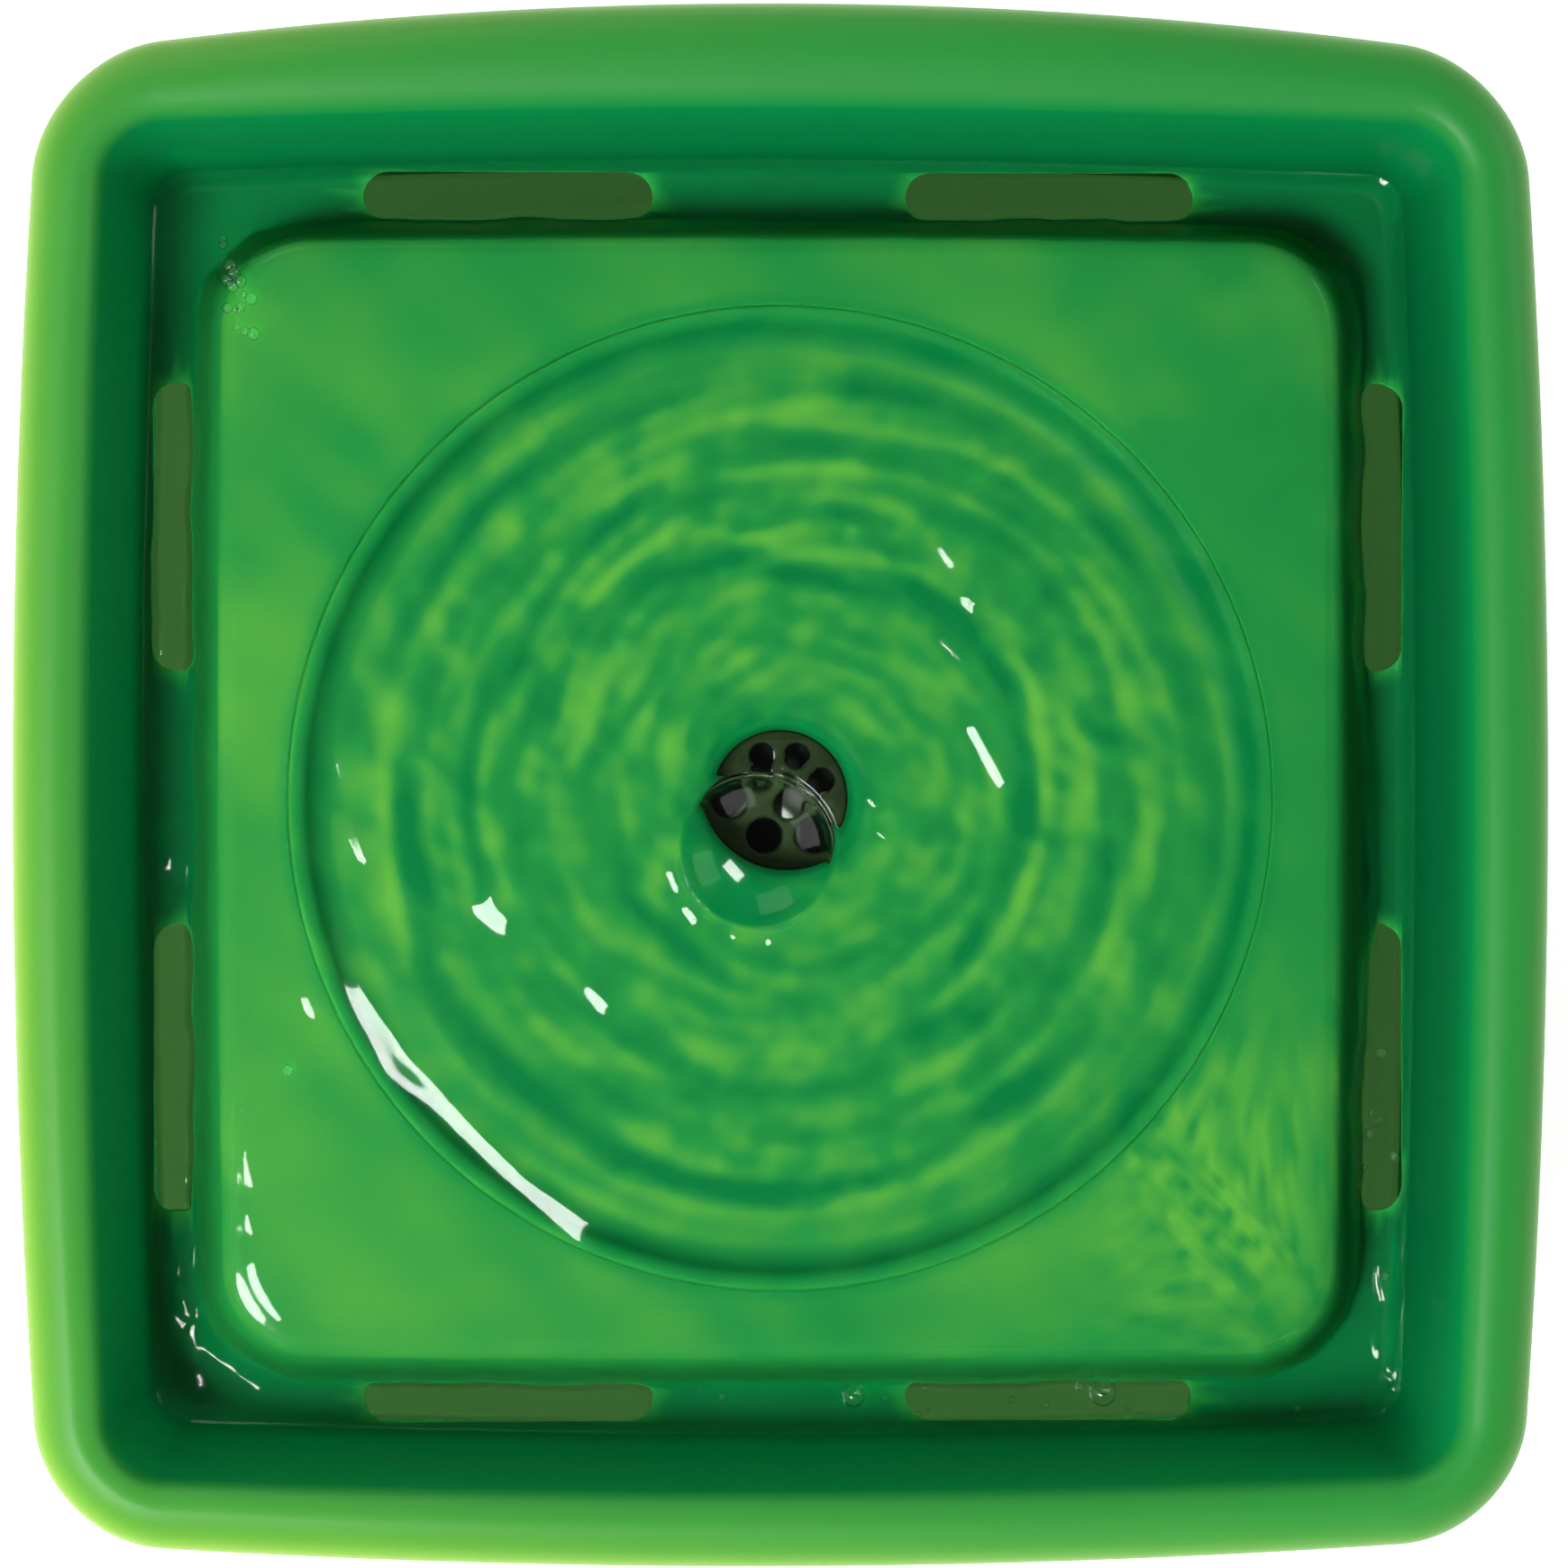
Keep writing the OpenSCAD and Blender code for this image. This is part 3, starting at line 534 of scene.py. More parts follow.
# under water the plastic loses its sheen, because water bends light almost as much
dry = add(
    tree,
    "ShaderNodeMapRange",
    {
        "Value": height_of.outputs["Z"],
        "From Min": (platform_top + 1) * MM,
        "From Max": (platform_top + 5) * MM,
        "To Min": 0.04,
        "To Max": 0.3,
    },
)
plastic = add(
    tree,
    "ShaderNodeBsdfPrincipled",
    {
        "Base Color": shaded.outputs[2],
        "Roughness": 0.42,
        "IOR": 1.49,
        "Specular IOR Level": dry.outputs[0],
        "Subsurface Weight": 0.5,
        "Subsurface Radius": (0.4, 1.0, 0.4),
        "Subsurface Scale": 0.004,
        "Normal": bump.outputs[0],
    },
)
through = add(tree, "ShaderNodeBsdfTranslucent", {"Color": linear("#4fc24a")})
both = add(tree, "ShaderNodeMixShader", {0: 0.25, 1: plastic.outputs[0], 2: through.outputs[0]})
add(tree, "ShaderNodeOutputMaterial", {"Surface": both.outputs[0]})

points = np.concatenate(rings)
bowl = mesh_object("green_bowl", points, skin_faces(len(rings), around), green_mat)
ring_of = np.repeat(np.arange(len(rings)), around)
top_count = len(top_rows)
flat_count = top_count + flat_steps
# how far each point is in from the lip's outer edge: the painted glow, lime painted on for
# light through the thin edge, fades over the first few millimetres, and reaches further in on
# the left and the front, which face the lamp
from_edge = (lip_half - np.array([row[0] for row in top_rows]))[np.minimum(ring_of, top_count - 1)]
facing = np.clip(0.55 - 0.45 * (points[:, 0] + 0.5 * points[:, 1]) / lip_half, 0.15, 1)
painted_glow_at_edge = 0.75 * np.exp(-from_edge / 1.8) * (0.5 + 0.5 * facing)
paint(bowl, "edge", painted_glow_at_edge + 0.48 * facing**2 * np.exp(-from_edge / 8))
lip_rings, edge_rings, wall_rings = 5 * top_steps, 20, 26  # on the lip, platform edge, its wall
seen_side = ring_of < flat_count + 3  # all that shows from above, down to the recess's ledge
paint(bowl, "inside", ((ring_of > lip_rings) & seen_side).astype(float))
on_platform = np.clip((points[:, 2] - platform_top + 4) / 3.5, 0, 1)
on_platform = on_platform * (ring_of >= top_count - edge_rings)
on_platform = on_platform * seen_side
# painted light: the platform's wall, under the film of water, is painted as light as its top
on_wall = (ring_of >= top_count - wall_rings) & (ring_of < top_count)
on_wall = on_wall & (points[:, 2] > trough_floor + 0.5)
on_platform = np.maximum(on_platform, on_wall)
paint(bowl, "platform", on_platform)
# Painted shade: the inner walls darken on the way down. For the left, right, back and front walls:
# how dark each gets, and how late, as a power of the way down. Over 12 mm one wall blends into the
# next.
painted_shade_most, painted_shade_power = [0.62, 0.74, 0.62, 0.46], [3.5, 0.35, 2.0, 1.2]
painted_shade_on_top = [0.0, 0.0, 0.0, 0.03]
sides = np.exp(points[:, :2] @ np.array([[-1, 1, 0, 0], [0, 0, 1, -1]]) / 12)
sides /= sides.sum(axis=1, keepdims=True)
fallen = np.clip((lip_top - 6 - points[:, 2]) / (lip_top - 10 - trough_floor), 0, 1)
painted_shade_value = (sides @ painted_shade_most) * fallen ** (sides @ painted_shade_power)
painted_shade_value = painted_shade_value * (1 - on_platform) + on_platform * (sides @ painted_shade_on_top)
paint(bowl, "painted_shade", painted_shade_value * seen_side)
# the painted light bands run out over the platform's flat top, and a thin line of painted shade rings
# the dish
at_x, at_y = points[:, 0], points[:, 1]
from_axis = np.hypot(at_x, at_y)
flow = np.clip((92 - from_axis) / 12, 0, 1)
band_value = painted_light_patches(at_x, at_y) + 0.5 * flow * (light_bands(at_x, at_y) - 0.5)
band_value -= 0.18 * np.exp(-(((from_axis - dish_radius - 0.4) / 1.2) ** 2))
band_value = np.where(on_wall & (points[:, 2] < platform_top - 1), 0.46, band_value)
paint(bowl, "bands", band_value)


def stadium(length, width, z0, z1, turns=14):
    """Points and faces of an upright prism with round ends, centred on the origin."""
    a = np.linspace(-math.pi / 2, math.pi / 2, turns + 1)
    straight = (length - width) / 2
    right = np.column_stack([straight + width / 2 * np.cos(a), width / 2 * np.sin(a)])
    outline = np.vstack([right, -right])
    n = len(outline)
    pts = np.vstack([np.column_stack([outline, np.full(n, z)]) for z in (z0, z1)])
    faces = [tuple(range(n))[::-1], tuple(range(n, 2 * n))]
    faces += [(i, (i + 1) % n, (i + 1) % n + n, i + n) for i in range(n)]
    return pts, faces


slot_length, slot_width, slot_offset = 47, 8.4, 44  # the offset is from the side's middle
slot_distance = trough_half - 0.4 - slot_width / 2
slot_points, slot_faces = [], []
for k in range(4):
    for side in (-1, 1):
        pts, faces = stadium(slot_length, slot_width, trough_floor - 6, trough_floor + 5)
        pts = pts + (side * slot_offset, slot_distance, 0)
        c, s = math.cos(k * math.pi / 2), math.sin(k * math.pi / 2)
        x, y = pts[:, 0], pts[:, 1]
        turned = np.column_stack([c * x - s * y, s * x + c * y, pts[:, 2]])
        base = sum(len(p) for p in slot_points)
        slot_points.append(turned)
        slot_faces += [tuple(i + base for i in f) for f in faces]
cutter = mesh_object("slot_cutter", np.concatenate(slot_points), slot_faces, green_mat)
cut = bowl.modifiers.new("slots", "BOOLEAN")
cut.operation, cut.object, cut.solver = "DIFFERENCE", cutter, "EXACT"


def settle(made, angle=35):
    """Turns live modifiers into plain mesh and marks the edges sharper than angle."""
    shape = bpy.data.meshes.new_from_object(made.evaluated_get(bpy.context.evaluated_depsgraph_get()))
    made.modifiers.clear()
    made.data = shape
    shape.shade_smooth()
    shape.set_sharp_from_angle(angle=math.radians(angle))


settle(bowl)
bpy.data.objects.remove(cutter)
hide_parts("bowl")
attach(bowl, "bowl_unit")

# ---- Dish ---------------------------------------------------------------------------
# A round disc of the same green plastic that drops into the recess: a crisp rim, a cove,
# an almost flat floor, and a spout hole whose tube holds the strainer underneath.
dish_floor = platform_top - 4.4
spout_radius = 11
spout_edge = 4
spout_foot = dish_low[2] / MM if dish_low[2] < 0.06 else dish_floor - 9
cove = 5
rim_in, rim_soft, rim_turn = 2.5, 2.59, 24.8  # inset, radius and turn of the rounded rim
collar_inner, collar_outer, collar_foot = 64, 66, 65  # the ring underneath holds the filter


def arc(cx, cz, r, start, stop, steps):
    """Points of an arc in a section, radius across and height up, in mm and degrees."""
    a = np.radians(np.linspace(start, stop, steps + 1))
    return [(cx + r * math.cos(v), cz + r * math.sin(v)) for v in a]


def floor_line(steps):
    """The dish's floor from the cove in to the spout, fine enough to hold the light bands."""
    r = np.linspace(dish_radius - rim_in - cove, spout_radius + spout_edge + 0.5, steps)
    return [(v, dish_floor - 0.4 * (r[0] - v) / (r[0] - r[-1])) for v in r]


def lathe(name, section, mat, turns=256):
    """A closed ring of revolution about the centre line from a closed section."""
    a = np.linspace(0, 2 * math.pi, turns, endpoint=False)
    circles = [
        np.column_stack([r * np.cos(a), r * np.sin(a), np.full(turns, z)]) for r, z in section
    ]
    pts = np.concatenate(circles)
    return mesh_object(name, pts, skin_faces(len(section), turns), mat), pts


section = (
    [(dish_radius, ledge_z), (dish_radius, platform_top - 0.5)]
    + arc(dish_radius - 0.5, platform_top - 0.5, 0.5, 20, 90, 4)
    + arc(dish_radius - 0.61, platform_top - rim_soft, rim_soft, 90, 180 - rim_turn, 8)
    + arc(dish_radius - rim_in - cove, dish_floor + cove, cove, -rim_turn - 4, -88, 12)
    + floor_line(90)
    + arc(spout_radius + spout_edge, dish_floor - 0.4 - spout_edge, spout_edge, 88, 180, 14)
    + [
        (spout_radius, spout_foot),
        (spout_radius + 2, spout_foot),
        (spout_radius + 2, dish_floor - 0.9 - spout_edge),
        (spout_radius + spout_edge + 0.5, dish_floor - wall - 0.6),
        (collar_inner, dish_floor - wall),
        (collar_inner, collar_foot),
        (collar_outer, collar_foot),
        (collar_outer, dish_floor - wall),
        (dish_radius - 5, dish_floor - wall),
        (dish_radius - 3, dish_floor - 1),
        (dish_radius - 3, ledge_z),
    ]
)
dish, pts = lathe("green_dish", section, green_mat)
in_hollow = np.clip((pts[:, 2] - dish_floor + 2.2) / 1.2, 0, 1)
radii = np.hypot(pts[:, 0], pts[:, 1])
rim_shade = np.clip((radii - (dish_radius - 7)) / 3, 0, 1)
rim_shade = rim_shade * np.clip((dish_radius - radii) / 2.5, 0, 1)
bands_here = light_bands(pts[:, 0], pts[:, 1]) + 0.5 * (painted_light_patches(pts[:, 0], pts[:, 1]) - 0.6)
funnel_shade = np.clip((spout_radius + 6 - radii) / 4, 0, 1)
dome_x, dome_y, dome_radius = -3.9, -8.4, 12  # the water's dome stands off the spout's middle
dome_off = np.hypot(pts[:, 0] - dome_x, pts[:, 1] - dome_y)
dome_shade = np.clip((dome_radius + 0.5 - dome_off) / 2.5, 0, 1)
shade = np.maximum(np.maximum(0.36 * rim_shade, 0.42 * funnel_shade), 0.4 * dome_shade)
paint(dish, "bands", np.clip(bands_here - shade, 0, 1))
paint(dish, "platform", in_hollow)
paint(dish, "inside", np.ones(len(pts)))
paint(dish, "edge", np.zeros(len(pts)))
# painted shade on the dish's parts below its floor
paint(dish, "painted_shade", 0.7 * (1 - in_hollow))
settle(dish)
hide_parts("dish")
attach(dish, "dish_unit")

# ---- Water --------------------------------------------------------------------------
# Clean water, in two pieces that part at the dish's rim: what fills the dish and domes
# up over the spout, and the film over the platform with the pool in the trough.
# Moving tap water: clear, with a trace of painted green for the light from the plastic round it.
# Fine turbulence spreads its highlights a little, and it lets lamp light through instead of shading it.
water_mat, tree = material("clear_water")
glass = add(tree, "ShaderNodeBsdfGlass", {"Color": linear("#fbfffc"), "Roughness": 0.09, "IOR": 1.333})
lamp_light = add(tree, "ShaderNodeBsdfTransparent", {"Color": linear("#f2fff6")})
path = add(tree, "ShaderNodeLightPath")
lets_through = add(
    tree,
    "ShaderNodeMixShader",
    {0: path.outputs["Is Shadow Ray"], 1: glass.outputs[0], 2: lamp_light.outputs[0]},
)
add(tree, "ShaderNodeOutputMaterial", {"Surface": lets_through.outputs[0]})

level = platform_top + 0.8
pool_level = trough_floor + 4.5
sink = 0.15  # the water's hidden faces lie this far inside the plastic
turns = 400  # points round the dish's water
angle = np.linspace(0, 2 * math.pi, turns, endpoint=False)


def disc_rings(radii, heights):
    """Circles about the centre line, one for each radius and height."""
    flat = np.column_stack([np.cos(angle), np.sin(angle)])
    return [np.column_stack([flat * r, np.full(turns, z)]) for r, z in zip(radii, heights)]


# Where the pump's jet lifts the surface over the spout it stands up as a smooth dome.
dome_tall = 5.6
top = disc_rings(np.linspace(dish_radius - 0.02, 0.4, 200), [level] * 200)
for ring in top:
    x, y = ring[:, 0], ring[:, 1]
    off = np.hypot(x - dome_x, y - dome_y) / dome_radius
    dome = dome_tall * np.clip(1 - off**2, 0, None) ** 0.75
    collar = 0.5 * np.exp(-(((off - 1.05) / 0.045) ** 2))
    ring[:, 2] += waves(x, y) * np.clip((off - 0.8) * 3, 0, 1) + dome - collar
filter_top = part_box("fleece_pad")[1][2] / MM
low_line = (
    [(dish_radius - 0.02, platform_top - 0.6), (dish_radius - 0.5, platform_top - sink)]
    + arc(dish_radius - 0.61, platform_top - rim_soft - sink, rim_soft, 100, 180 - rim_turn, 6)
    + arc(dish_radius - rim_in - cove, dish_floor + cove - sink, cove, -rim_turn - 4, -88, 12)
    + [(dish_radius - 30, dish_floor - 0.2 - sink)]
    + arc(spout_radius + spout_edge, dish_floor - 0.4 - spout_edge, spout_edge - sink, 88, 180, 14)
    + [(spout_radius + sink, spout_foot + 1), (spout_radius - 0.6, spout_foot - 1.2)]
    + [(spout_radius - 0.6, filter_top - sink), (0.4, filter_top - sink)]
)[::-1]
shell = top + disc_rings([q[0] for q in low_line], [q[1] for q in low_line])
faces = skin_faces(len(shell), turns)
inner = len(top) - 1  # the rings on either side of the centre line are shut, not joined
faces = [f for f in faces if not (f[0] // turns == inner and f[2] // turns == inner + 1)]
faces.append(tuple(inner * turns + i for i in range(turns)))
faces.append(tuple((inner + 1) * turns + i for i in range(turns))[::-1])
dish_water = mesh_object("water_in_dish", np.concatenate(shell), faces, water_mat)

film = [  # over the platform and its edge, down in a sloping skirt, then out over the pool
    [platform_half - 6.5, platform_corner - 3.2, 0.5, 0, level],
    [platform_half - 4.5, platform_corner - 2.2, 0.6, 0, level - 0.2],
    [platform_half - 2.5, platform_corner - 1.2, 0.8, 0, level - 1.2],
    [platform_half - 0.7, platform_corner - 0.2, 1, 0, level - 3.4],
    [platform_half + 0.8, platform_corner + 0.4, 1, 0, level - 6.0],
    [platform_half + 1.9, platform_corner + 0.8, 1.1, 0, level - 8.3],
    [platform_half + 2.9, platform_corner + 0.6, 1.3, 0, pool_level + 0.4],
    [platform_half + 4.2, 13, 1.6, 0, pool_level],
    [trough_half - 1.2, 5.5, 2.5, 0, pool_level],
    [trough_half + 0.6, 5.4, 2.5, 0, pool_level + 0.25],
    [trough_half + 1.7, 5.6, 2.55, 0, pool_level + 0.9],
]
bed = [  # back through the plastic, underneath the water
    [trough_half + 1.7, 5.6, 2.55, 0, pool_level + 0.7],
    [trough_half + 0.7, 5.2, 2.5, 0, trough_floor + 2.2],
    [trough_half - 0.2, 4.6, 2.5, 0, trough_floor + 0.6],
    [trough_half - 1.6, 4.0, 2.5, 0, trough_floor - sink],
    [platform_half + 1, platform_corner + 1, 1, 0, trough_floor - sink],
    [platform_half - 0.3, platform_corner, 1, 0, trough_floor + 0.8],
    [platform_half - 2.1, platform_corner - 0.5, 1, 0, pool_level + 1],
    [platform_half - 2.3, platform_corner - 0.5, 1, 0, platform_top - 4.5],
    [platform_half - 2.9, platform_corner - 1, 1, 0, platform_top - 2.1],
    [platform_half - 3.9, platform_corner - 1.6, 0.8, 0, platform_top - 0.9],
    [platform_half - 5, platform_corner - 2.6, 0.5, 0, platform_top - sink],
]
pool_crests = [  # the same for the trough: line, height and half-breadth, in mm
    ([(-100.6, 40), (-99.6, 36), (-100.2, 32.5), (-98.9, 29.5), (-99.8, 25.3)], 0.75, 1.1),
    ([(-98.6, -5.5), (-97.9, -10)], 0.7, 1.2),
    ([(99.6, 98.2), (98.9, 95.4)], 0.75, 1.2),
    ([(-97, -68), (-96.2, -72), (-97, -76), (-95.6, -83)], 0.8, 1.3),
    ([(-92, -86.5), (-88, -90), (-82.6, -94.3)], 0.7, 1.3),
    ([(97.5, -74), (98.6, -80)], 0.8, 1.3),
    ([(99.4, -86.5), (98.2, -91)], 0.8, 1.2),
    ([(72, -97.4), (66, -98.6)], 0.7, 1.2),
]


def pool(x, y):
    """The water's surface in the trough: calm at the back, churned at the front right."""
    churn = np.exp(-(((x - 92) / 26) ** 2) - (((y + 90) / 22) ** 2))
    churn = churn + 0.4 * np.exp(-(((x + 93) / 16) ** 2) - (((y + 80) / 22) ** 2)) + 0.12
    height = 0.04 * rough((x, y), 31, 16)
    height = height + churn * (0.20 * rough((x, y), 33, 7) + 0.07 * rough((x, y), 34, 3))
    for line, tall, breadth in pool_crests:
        off, along = from_line(x, y, line)
        height = height + tall * np.exp(-(off**2) / (2 * breadth**2))
    return height


film_rings = [square_ring(row, 110, 44) for row in smooth(film, 8)]
bed_rings = [square_ring(row, 110, 44) for row in smooth(bed, 3)]
film_start = round_ring(dish_radius + 0.02, level, film_rings[0])
bed_end = round_ring(dish_radius + 0.02, platform_top - sink, film_rings[0])
film_rings = [film_start] + between(film_start, film_rings[0], 30) + film_rings
for ring in film_rings:
    x, y = ring[:, 0].copy(), ring[:, 1].copy()
    on_top = np.clip((ring[:, 2] - platform_top + 3) / 3, 0, 1)
    in_pool = np.clip((pool_level + 2.5 - ring[:, 2]) / 2.5, 0, 1)
    at_wall = np.clip((trough_half + 1 - np.maximum(abs(x), abs(y))) / 2, 0.1, 1)
    ring[:, 2] += on_top * waves(x, y) + in_pool * at_wall * pool(x, y)
    side = (1 - on_top) * np.clip((trough_half - 1 - abs(x)) / 4, 0, 1)
    ring[:, 0] += side * 2.2 * np.exp(-(((y + 10) / 20) ** 2)) * np.clip((x - 84) / 4, 0, 1)
    lap = 0.25 * rough((x, y), 36, 16) + 0.08 * rough((x, y), 37, 6)
    to_wall = trough_half - 1 - np.maximum(abs(x), abs(y))
    skirt = np.clip(1.5 * (1 - on_top), 0, 1) * np.clip(to_wall / 5, 0, 1)
    outwards = ring[:, :2] / np.linalg.norm(ring[:, :2], axis=1, keepdims=True)
    ring[:, :2] += outwards * (skirt * lap)[:, None]
    ring[:, 1] -= 1.8 * skirt * np.clip((y - 84) / 4, 0, 1)
shell = film_rings + bed_rings + between(bed_rings[-1], bed_end, 6) + [bed_end]
count = len(film_start)
faces = [face[::-1] for face in skin_faces(len(shell), count)]  # these rings run outwards
bowl_water = mesh_object("water_in_bowl", np.concatenate(shell), faces, water_mat)
for made, body in ((dish_water, "dish_unit"), (bowl_water, "bowl_unit")):
    settle(made, 60)
    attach(made, body)

# ---- Bubbles ------------------------------------------------------------------------
# Air carried down by the spill comes up again in the trough and at the platform's back
# left corner as thin-skinned bubbles that sit half out of the water.
draw = np.random.default_rng(4)
# each is x, y and radius in mm: four large ones, then froth in the back left corner, along
# the front trough and in the right one
bubbles = [(52.5, -96.6, 2.3), (12, -97, 1.9), (90.6, 73.6, 1.7), (-79, -43.5, 1.0)]
for _ in range(26):
    bubbles.append((-88 + draw.normal() * 1.6, 82 + draw.normal() * 4, draw.uniform(0.3, 1.1)))
for _ in range(14):
    bubbles.append((draw.uniform(-20, 95), -97.5 + draw.normal() * 1.4, draw.uniform(0.3, 0.9)))
for _ in range(10):
    bubbles.append((97.5 + draw.normal() * 1.5, draw.uniform(-90, -40), draw.uniform(0.3, 0.9)))

# each bubble is a ball of water with a slightly smaller ball of air inside it
skins = bpy.data.node_groups.new("bubble_skins", "GeometryNodeTree")
skins.interface.new_socket("Centres", in_out="INPUT", socket_type="NodeSocketGeometry")
film_share = skins.interface.new_socket("Air share", in_out="INPUT", socket_type="NodeSocketFloat")
skins.interface.new_socket("Bubbles", in_out="OUTPUT", socket_type="NodeSocketGeometry")
given = add(skins, "NodeGroupInput")
ball = add(skins, "GeometryNodeMeshIcoSphere", {"Radius": 1 * MM, "Subdivisions": 3})
air = add(
    skins,
    "GeometryNodeTransform",
    {"Geometry": ball.outputs["Mesh"], "Scale": given.outputs["Air share"]},
)
inside_out = add(skins, "GeometryNodeFlipFaces", {"Mesh": air.outputs["Geometry"]})
both = add(skins, "GeometryNodeJoinGeometry", {"Geometry": ball.outputs["Mesh"]})
skins.links.new(inside_out.outputs["Mesh"], both.inputs["Geometry"])
sizes = add(skins, "GeometryNodeInputNamedAttribute", {"Name": "size"}, data_type="FLOAT")
placed = add(
    skins,
    "GeometryNodeInstanceOnPoints",
    {
        "Points": given.outputs["Centres"],
        "Instance": both.outputs["Geometry"],
        "Scale": sizes.outputs["Attribute"],
    },
)
real = add(skins, "GeometryNodeRealizeInstances", {"Geometry": placed.outputs["Instances"]})
wet = add(
    skins,
    "GeometryNodeSetMaterial",
    {"Geometry": real.outputs["Geometry"], "Material": water_mat},
)
add(skins, "NodeGroupOutput", {"Bubbles": wet.outputs["Geometry"]})

centres = []
for x, y, r in bubbles:
    over = max(abs(x), abs(y)) < platform_half - 4
    centres.append((x, y, (level if over else pool_level) + 0.35 * r))
bubble_skins = mesh_object("bubbles", centres, [], water_mat)
paint(bubble_skins, "size", [r for _, _, r in bubbles])
blown = bubble_skins.modifiers.new("skins", "NODES")
blown.node_group = skins
blown[film_share.identifier] = 0.9  # the air's radius as a share of the ball's
settle(bubble_skins, 180)
bubble_skins.data.materials.clear()
bubble_skins.data.materials.append(water_mat)
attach(bubble_skins, "bowl_unit")

# ---- Strainer -----------------------------------------------------------------------
# A dark grey moulded disc that snaps up into the spout tube: twelve rounded holes and a
# centre boss on a plate, with a flange underneath that stops it going too far.
def pierced(name, outer, holes, z0, z1, edge, mat):
    """A flat disc with round holes, all its edges rounded, as plain mesh."""
    outline = bpy.data.curves.new(name, "CURVE")
    outline.dimensions, outline.fill_mode = "2D", "BOTH"
    outline.extrude = ((z1 - z0) / 2 - edge) * MM
    outline.bevel_depth, outline.bevel_resolution, outline.offset = edge * MM, 2, -edge * MM
    for hx, hy, r in [(0, 0, outer)] + holes:
        spline = outline.splines.new("POLY")
        steps = 96 if r == outer else 40
        spline.points.add(steps - 1)
        for k in range(steps):
            a = 2 * math.pi * k / steps
            spline.points[k].co = ((hx + r * math.cos(a)) * MM, (hy + r * math.sin(a)) * MM, 0, 1)
        spline.use_cyclic_u = True
    drawn = bpy.data.objects.new(name, outline)
    bpy.context.collection.objects.link(drawn)
    flat = bpy.data.meshes.new_from_object(drawn.evaluated_get(bpy.context.evaluated_depsgraph_get()))
    bpy.data.objects.remove(drawn)
    flat.transform(Matrix.Translation((0, axis_y * MM, (z0 + z1) / 2 * MM)))
    welded = bmesh.new()
    welded.from_mesh(flat)
    bmesh.ops.remove_doubles(welded, verts=welded.verts, dist=0.001 * MM)
    welded.to_mesh(flat)
    welded.free()
    flat.materials.clear()
    flat.materials.append(mat)
    made = bpy.data.objects.new(name, flat)
    bpy.context.collection.objects.link(made)
    return made


def joined(name, pieces):
    """Several objects made into one."""
    with bpy.context.temp_override(active_object=pieces[0], selected_editable_objects=pieces):
        bpy.ops.object.join()
    pieces[0].name = name
    return pieces[0]


# Olive-grey polypropylene, moulded with a matt face, made darker with painted shade so that it
# reads as the shadow under the water. Its specks are about 0.7 mm.
strainer_mat, tree = material("olive_grey_plastic_painted_shade")
place = add(tree, "ShaderNodeTexCoord")
speck = add(
    tree,
    "ShaderNodeTexNoise",
    {"Vector": place.outputs["Object"], "Scale": 1400.0, "Detail": 3.0},
)
tone = add(
    tree,
    "ShaderNodeMix",
    {0: speck.outputs["Fac"], 6: linear("#1c2614"), 7: linear("#2b391d")},
    data_type="RGBA",
)
skin = add(
    tree,
    "ShaderNodeBsdfPrincipled",
    {"Base Color": tone.outputs[2], "Roughness": 0.5, "Specular IOR Level": 0.06},
)
add(tree, "ShaderNodeOutputMaterial", {"Surface": skin.outputs[0]})

holes = []  # an outer and an inner circle: how many, circle, hole radius, first bearing
for count, ring, r, first in ((8, 7.4, 2.1, 22.5), (4, 3.3, 1.7, 0)):
    for k in range(count):
        a = math.radians(first + 360 * k / count)
        holes.append((ring * math.cos(a), ring * math.sin(a), r))
plate_top, flange_top = spout_foot + 0.7, spout_foot - 0.1
foot = flange_top - 1.6
plate = pierced("plate", spout_radius - 0.1, holes, foot, plate_top, 0.4, strainer_mat)
opening = [(0, 0, spout_radius - 1.1)]
flange = pierced("flange", spout_radius + 2, opening, foot, flange_top, 0.2, strainer_mat)
boss_line = [(0.05, plate_top - 1), (1.2, plate_top - 1)] + arc(0.7, plate_top + 0.5, 0.5, 0, 90, 5)
boss, _ = lathe("boss", boss_line + [(0.05, plate_top + 1)], strainer_mat, 32)
strainer = joined("strainer_disc", [plate, flange, boss])
strainer.data.shade_smooth()
strainer.data.set_sharp_from_angle(angle=math.radians(40))
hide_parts("strainer")
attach(strainer, "dish_unit")

# ---- Tank ---------------------------------------------------------------------------
# The open tank underneath, moulded in polypropylene thin enough to glow a little: its
# walls taper to a foot ring, and the power inlet has a flat pod at the back.
# Grey polypropylene. Its sage-green cast is painted light, for the green light that reaches it
# through the bowl. More than half of what the eye gets comes through the wall, so it looks
# milky. Its skin has a fine grain of about 0.6 mm.
tank_mat, tree = material("smoke_grey_polypropylene")
place = add(tree, "ShaderNodeTexCoord")
grain = add(
    tree,
    "ShaderNodeTexNoise",
    {"Vector": place.outputs["Object"], "Scale": 1600.0, "Detail": 2.0},
)
bump = add(
    tree,
    "ShaderNodeBump",
    {"Height": grain.outputs["Fac"], "Strength": 0.15, "Distance": 0.0001},
)
skin = add(
    tree,
    "ShaderNodeBsdfPrincipled",
    {"Base Color": linear("#86a07a"), "Roughness": 0.38, "Normal": bump.outputs[0]},
)
glow = add(tree, "ShaderNodeBsdfTranslucent", {"Color": linear("#8fb984")})
both = add(tree, "ShaderNodeMixShader", {0: 0.6, 1: skin.outputs[0], 2: glow.outputs[0]})
add(tree, "ShaderNodeOutputMaterial", {"Surface": both.outputs[0]})


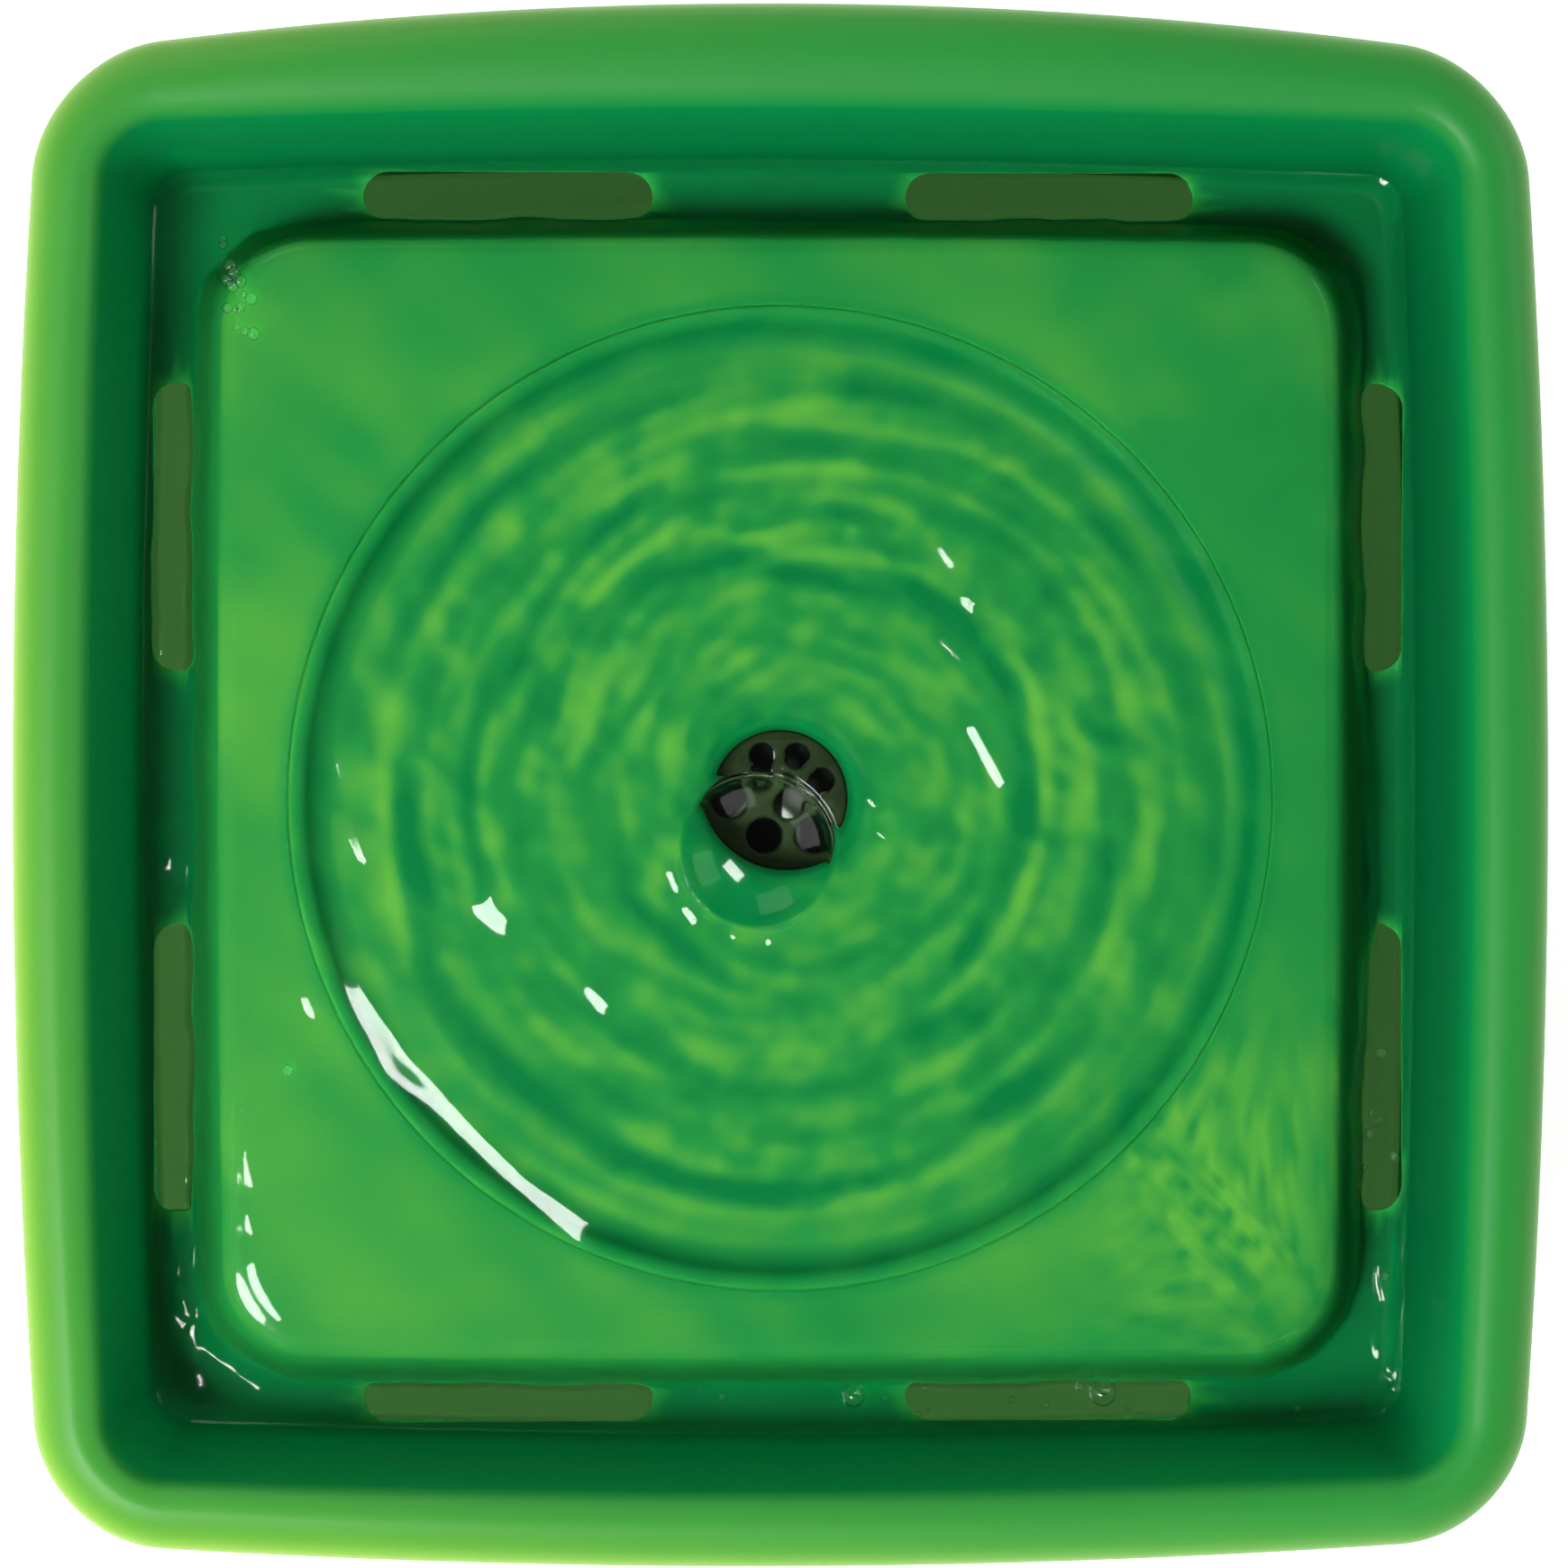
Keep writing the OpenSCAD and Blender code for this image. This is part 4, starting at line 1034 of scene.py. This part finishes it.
def dress(mat, *nodes):
    """Puts a material on CAD nodes, as their only one."""
    for node in nodes:
        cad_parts[node].data.materials.clear()
        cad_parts[node].data.materials.append(mat)


dress(tank_mat, "tank")

# ---- Plain moulded and turned pieces ------------------------------------------------
# The small parts under the bowl that are one material each: injection mouldings with a
# fine spark-eroded skin, rubber and silicone seals, and turned or ground metal.
def speckled(name, colour, other, roughness, grain_mm, depth_mm=0.02, **sockets):
    """A material whose two tones and fine bumps follow one grain of about grain_mm."""
    made, tree = material(name)
    place = add(tree, "ShaderNodeTexCoord")
    grain = add(
        tree,
        "ShaderNodeTexNoise",
        {"Vector": place.outputs["Object"], "Scale": 1 / (grain_mm * MM), "Detail": 4.0},
    )
    tone = add(
        tree,
        "ShaderNodeMix",
        {0: grain.outputs["Fac"], 6: linear(colour), 7: linear(other)},
        data_type="RGBA",
    )
    bump = add(
        tree,
        "ShaderNodeBump",
        {"Height": grain.outputs["Fac"], "Strength": 0.5, "Distance": depth_mm * MM},
    )
    values = {"Base Color": tone.outputs[2], "Roughness": roughness, "Normal": bump.outputs[0]}
    values.update({key.replace("_", " "): value for key, value in sockets.items()})
    skin = add(tree, "ShaderNodeBsdfPrincipled", values)
    add(tree, "ShaderNodeOutputMaterial", {"Surface": skin.outputs[0]})
    return made


# nitrile rubber: dull and nearly black, with a soft dusty grain
rubber = speckled("black_rubber", "#161617", "#222223", 0.68, 0.25)
# silicone: milky, with light scattering inside it
silicone = speckled("clear_silicone", "#c9cdc8", "#d8dbd6", 0.34, 0.6, Subsurface_Weight=0.4)
# ABS housings: black with a fine satin spark-eroded skin
black = speckled("black_abs", "#141517", "#1e1f21", 0.46, 0.12, 0.012)
# uncoloured and orange acetal: slippery, a little glossy, almost without grain
white = speckled("natural_pom", "#dcdcd4", "#e8e8e2", 0.36, 0.4, 0.01)
orange = speckled("orange_pom", "#d9591a", "#e0671f", 0.40, 0.3, 0.01)
# stainless steel, turned or stamped: bright metal with tool marks of 0.05 mm
steel = speckled("turned_steel", "#a9abac", "#c2c4c5", 0.26, 0.05, 0.004, Metallic=1.0)
# sintered ferrite magnet, ground: charcoal grey with a low shine
ferrite = speckled("ground_ferrite", "#232427", "#34353a", 0.40, 0.10, 0.01)
# epoxy potting: black and glossy, slightly wavy where it set
resin = speckled("potting_resin", "#08090b", "#0e0f12", 0.12, 3.0, 0.05)
# frosted polypropylene: pale, and some light passes through it
frosted = speckled(
    "frosted_polypropylene", "#b4bcb6", "#c3cac4", 0.30, 0.5, 0.01, Transmission_Weight=0.35
)
dress(rubber, "foot_front_left", "foot_front_right", "foot_back_left", "foot_back_right")
dress(rubber, "lead_gland", "lead", "jack_seal")
dress(silicone, "cup_gasket", "riser_seal", "rear_bush", "front_bush")
dress(silicone, "suction_cup_1", "suction_cup_2", "suction_cup_3", "suction_cup_4")
dress(black, "pump_body", "volute_cover", "intake_guard", "dc_jack")
dress(white, "bobbin", "impeller", "cartridge_frame")
dress(orange, "flow_shutter")
dress(steel, "rotor_shaft", "jack_pin", "jack_nut", "stator_core")
dress(ferrite, "rotor_magnet")
dress(resin, "potting")
dress(frosted, "filter_cup")
# open polyurethane foam: black and rough; its near-black is partly painted shade, for the dark seen
# through the strainer's holes
foam = speckled("reticulated_foam", "#07080a", "#14181c", 0.95, 0.9, 0.5, Specular_IOR_Level=0.08)
# activated carbon: granules of about 1 mm with small glints
carbon = speckled("carbon_granules", "#0a0a0b", "#1b1b1d", 0.55, 1.2, 0.6)
# needled polyester fleece: grey, painted near-black as painted shade for the strainer's holes, and
# quite without shine
fleece = speckled("grey_fleece", "#0c0e0d", "#181b19", 0.95, 0.3, 0.2, Specular_IOR_Level=0.1)
# enamelled copper wire: red-brown metal under a clear coat
copper = speckled("enamelled_copper", "#8c3a1c", "#b5542c", 0.22, 0.2, 0.01, Metallic=1.0)
dress(foam, "coarse_foam", "foam_block")
dress(carbon, "carbon_bed")
dress(fleece, "fleece_pad")
dress(copper, "coil")
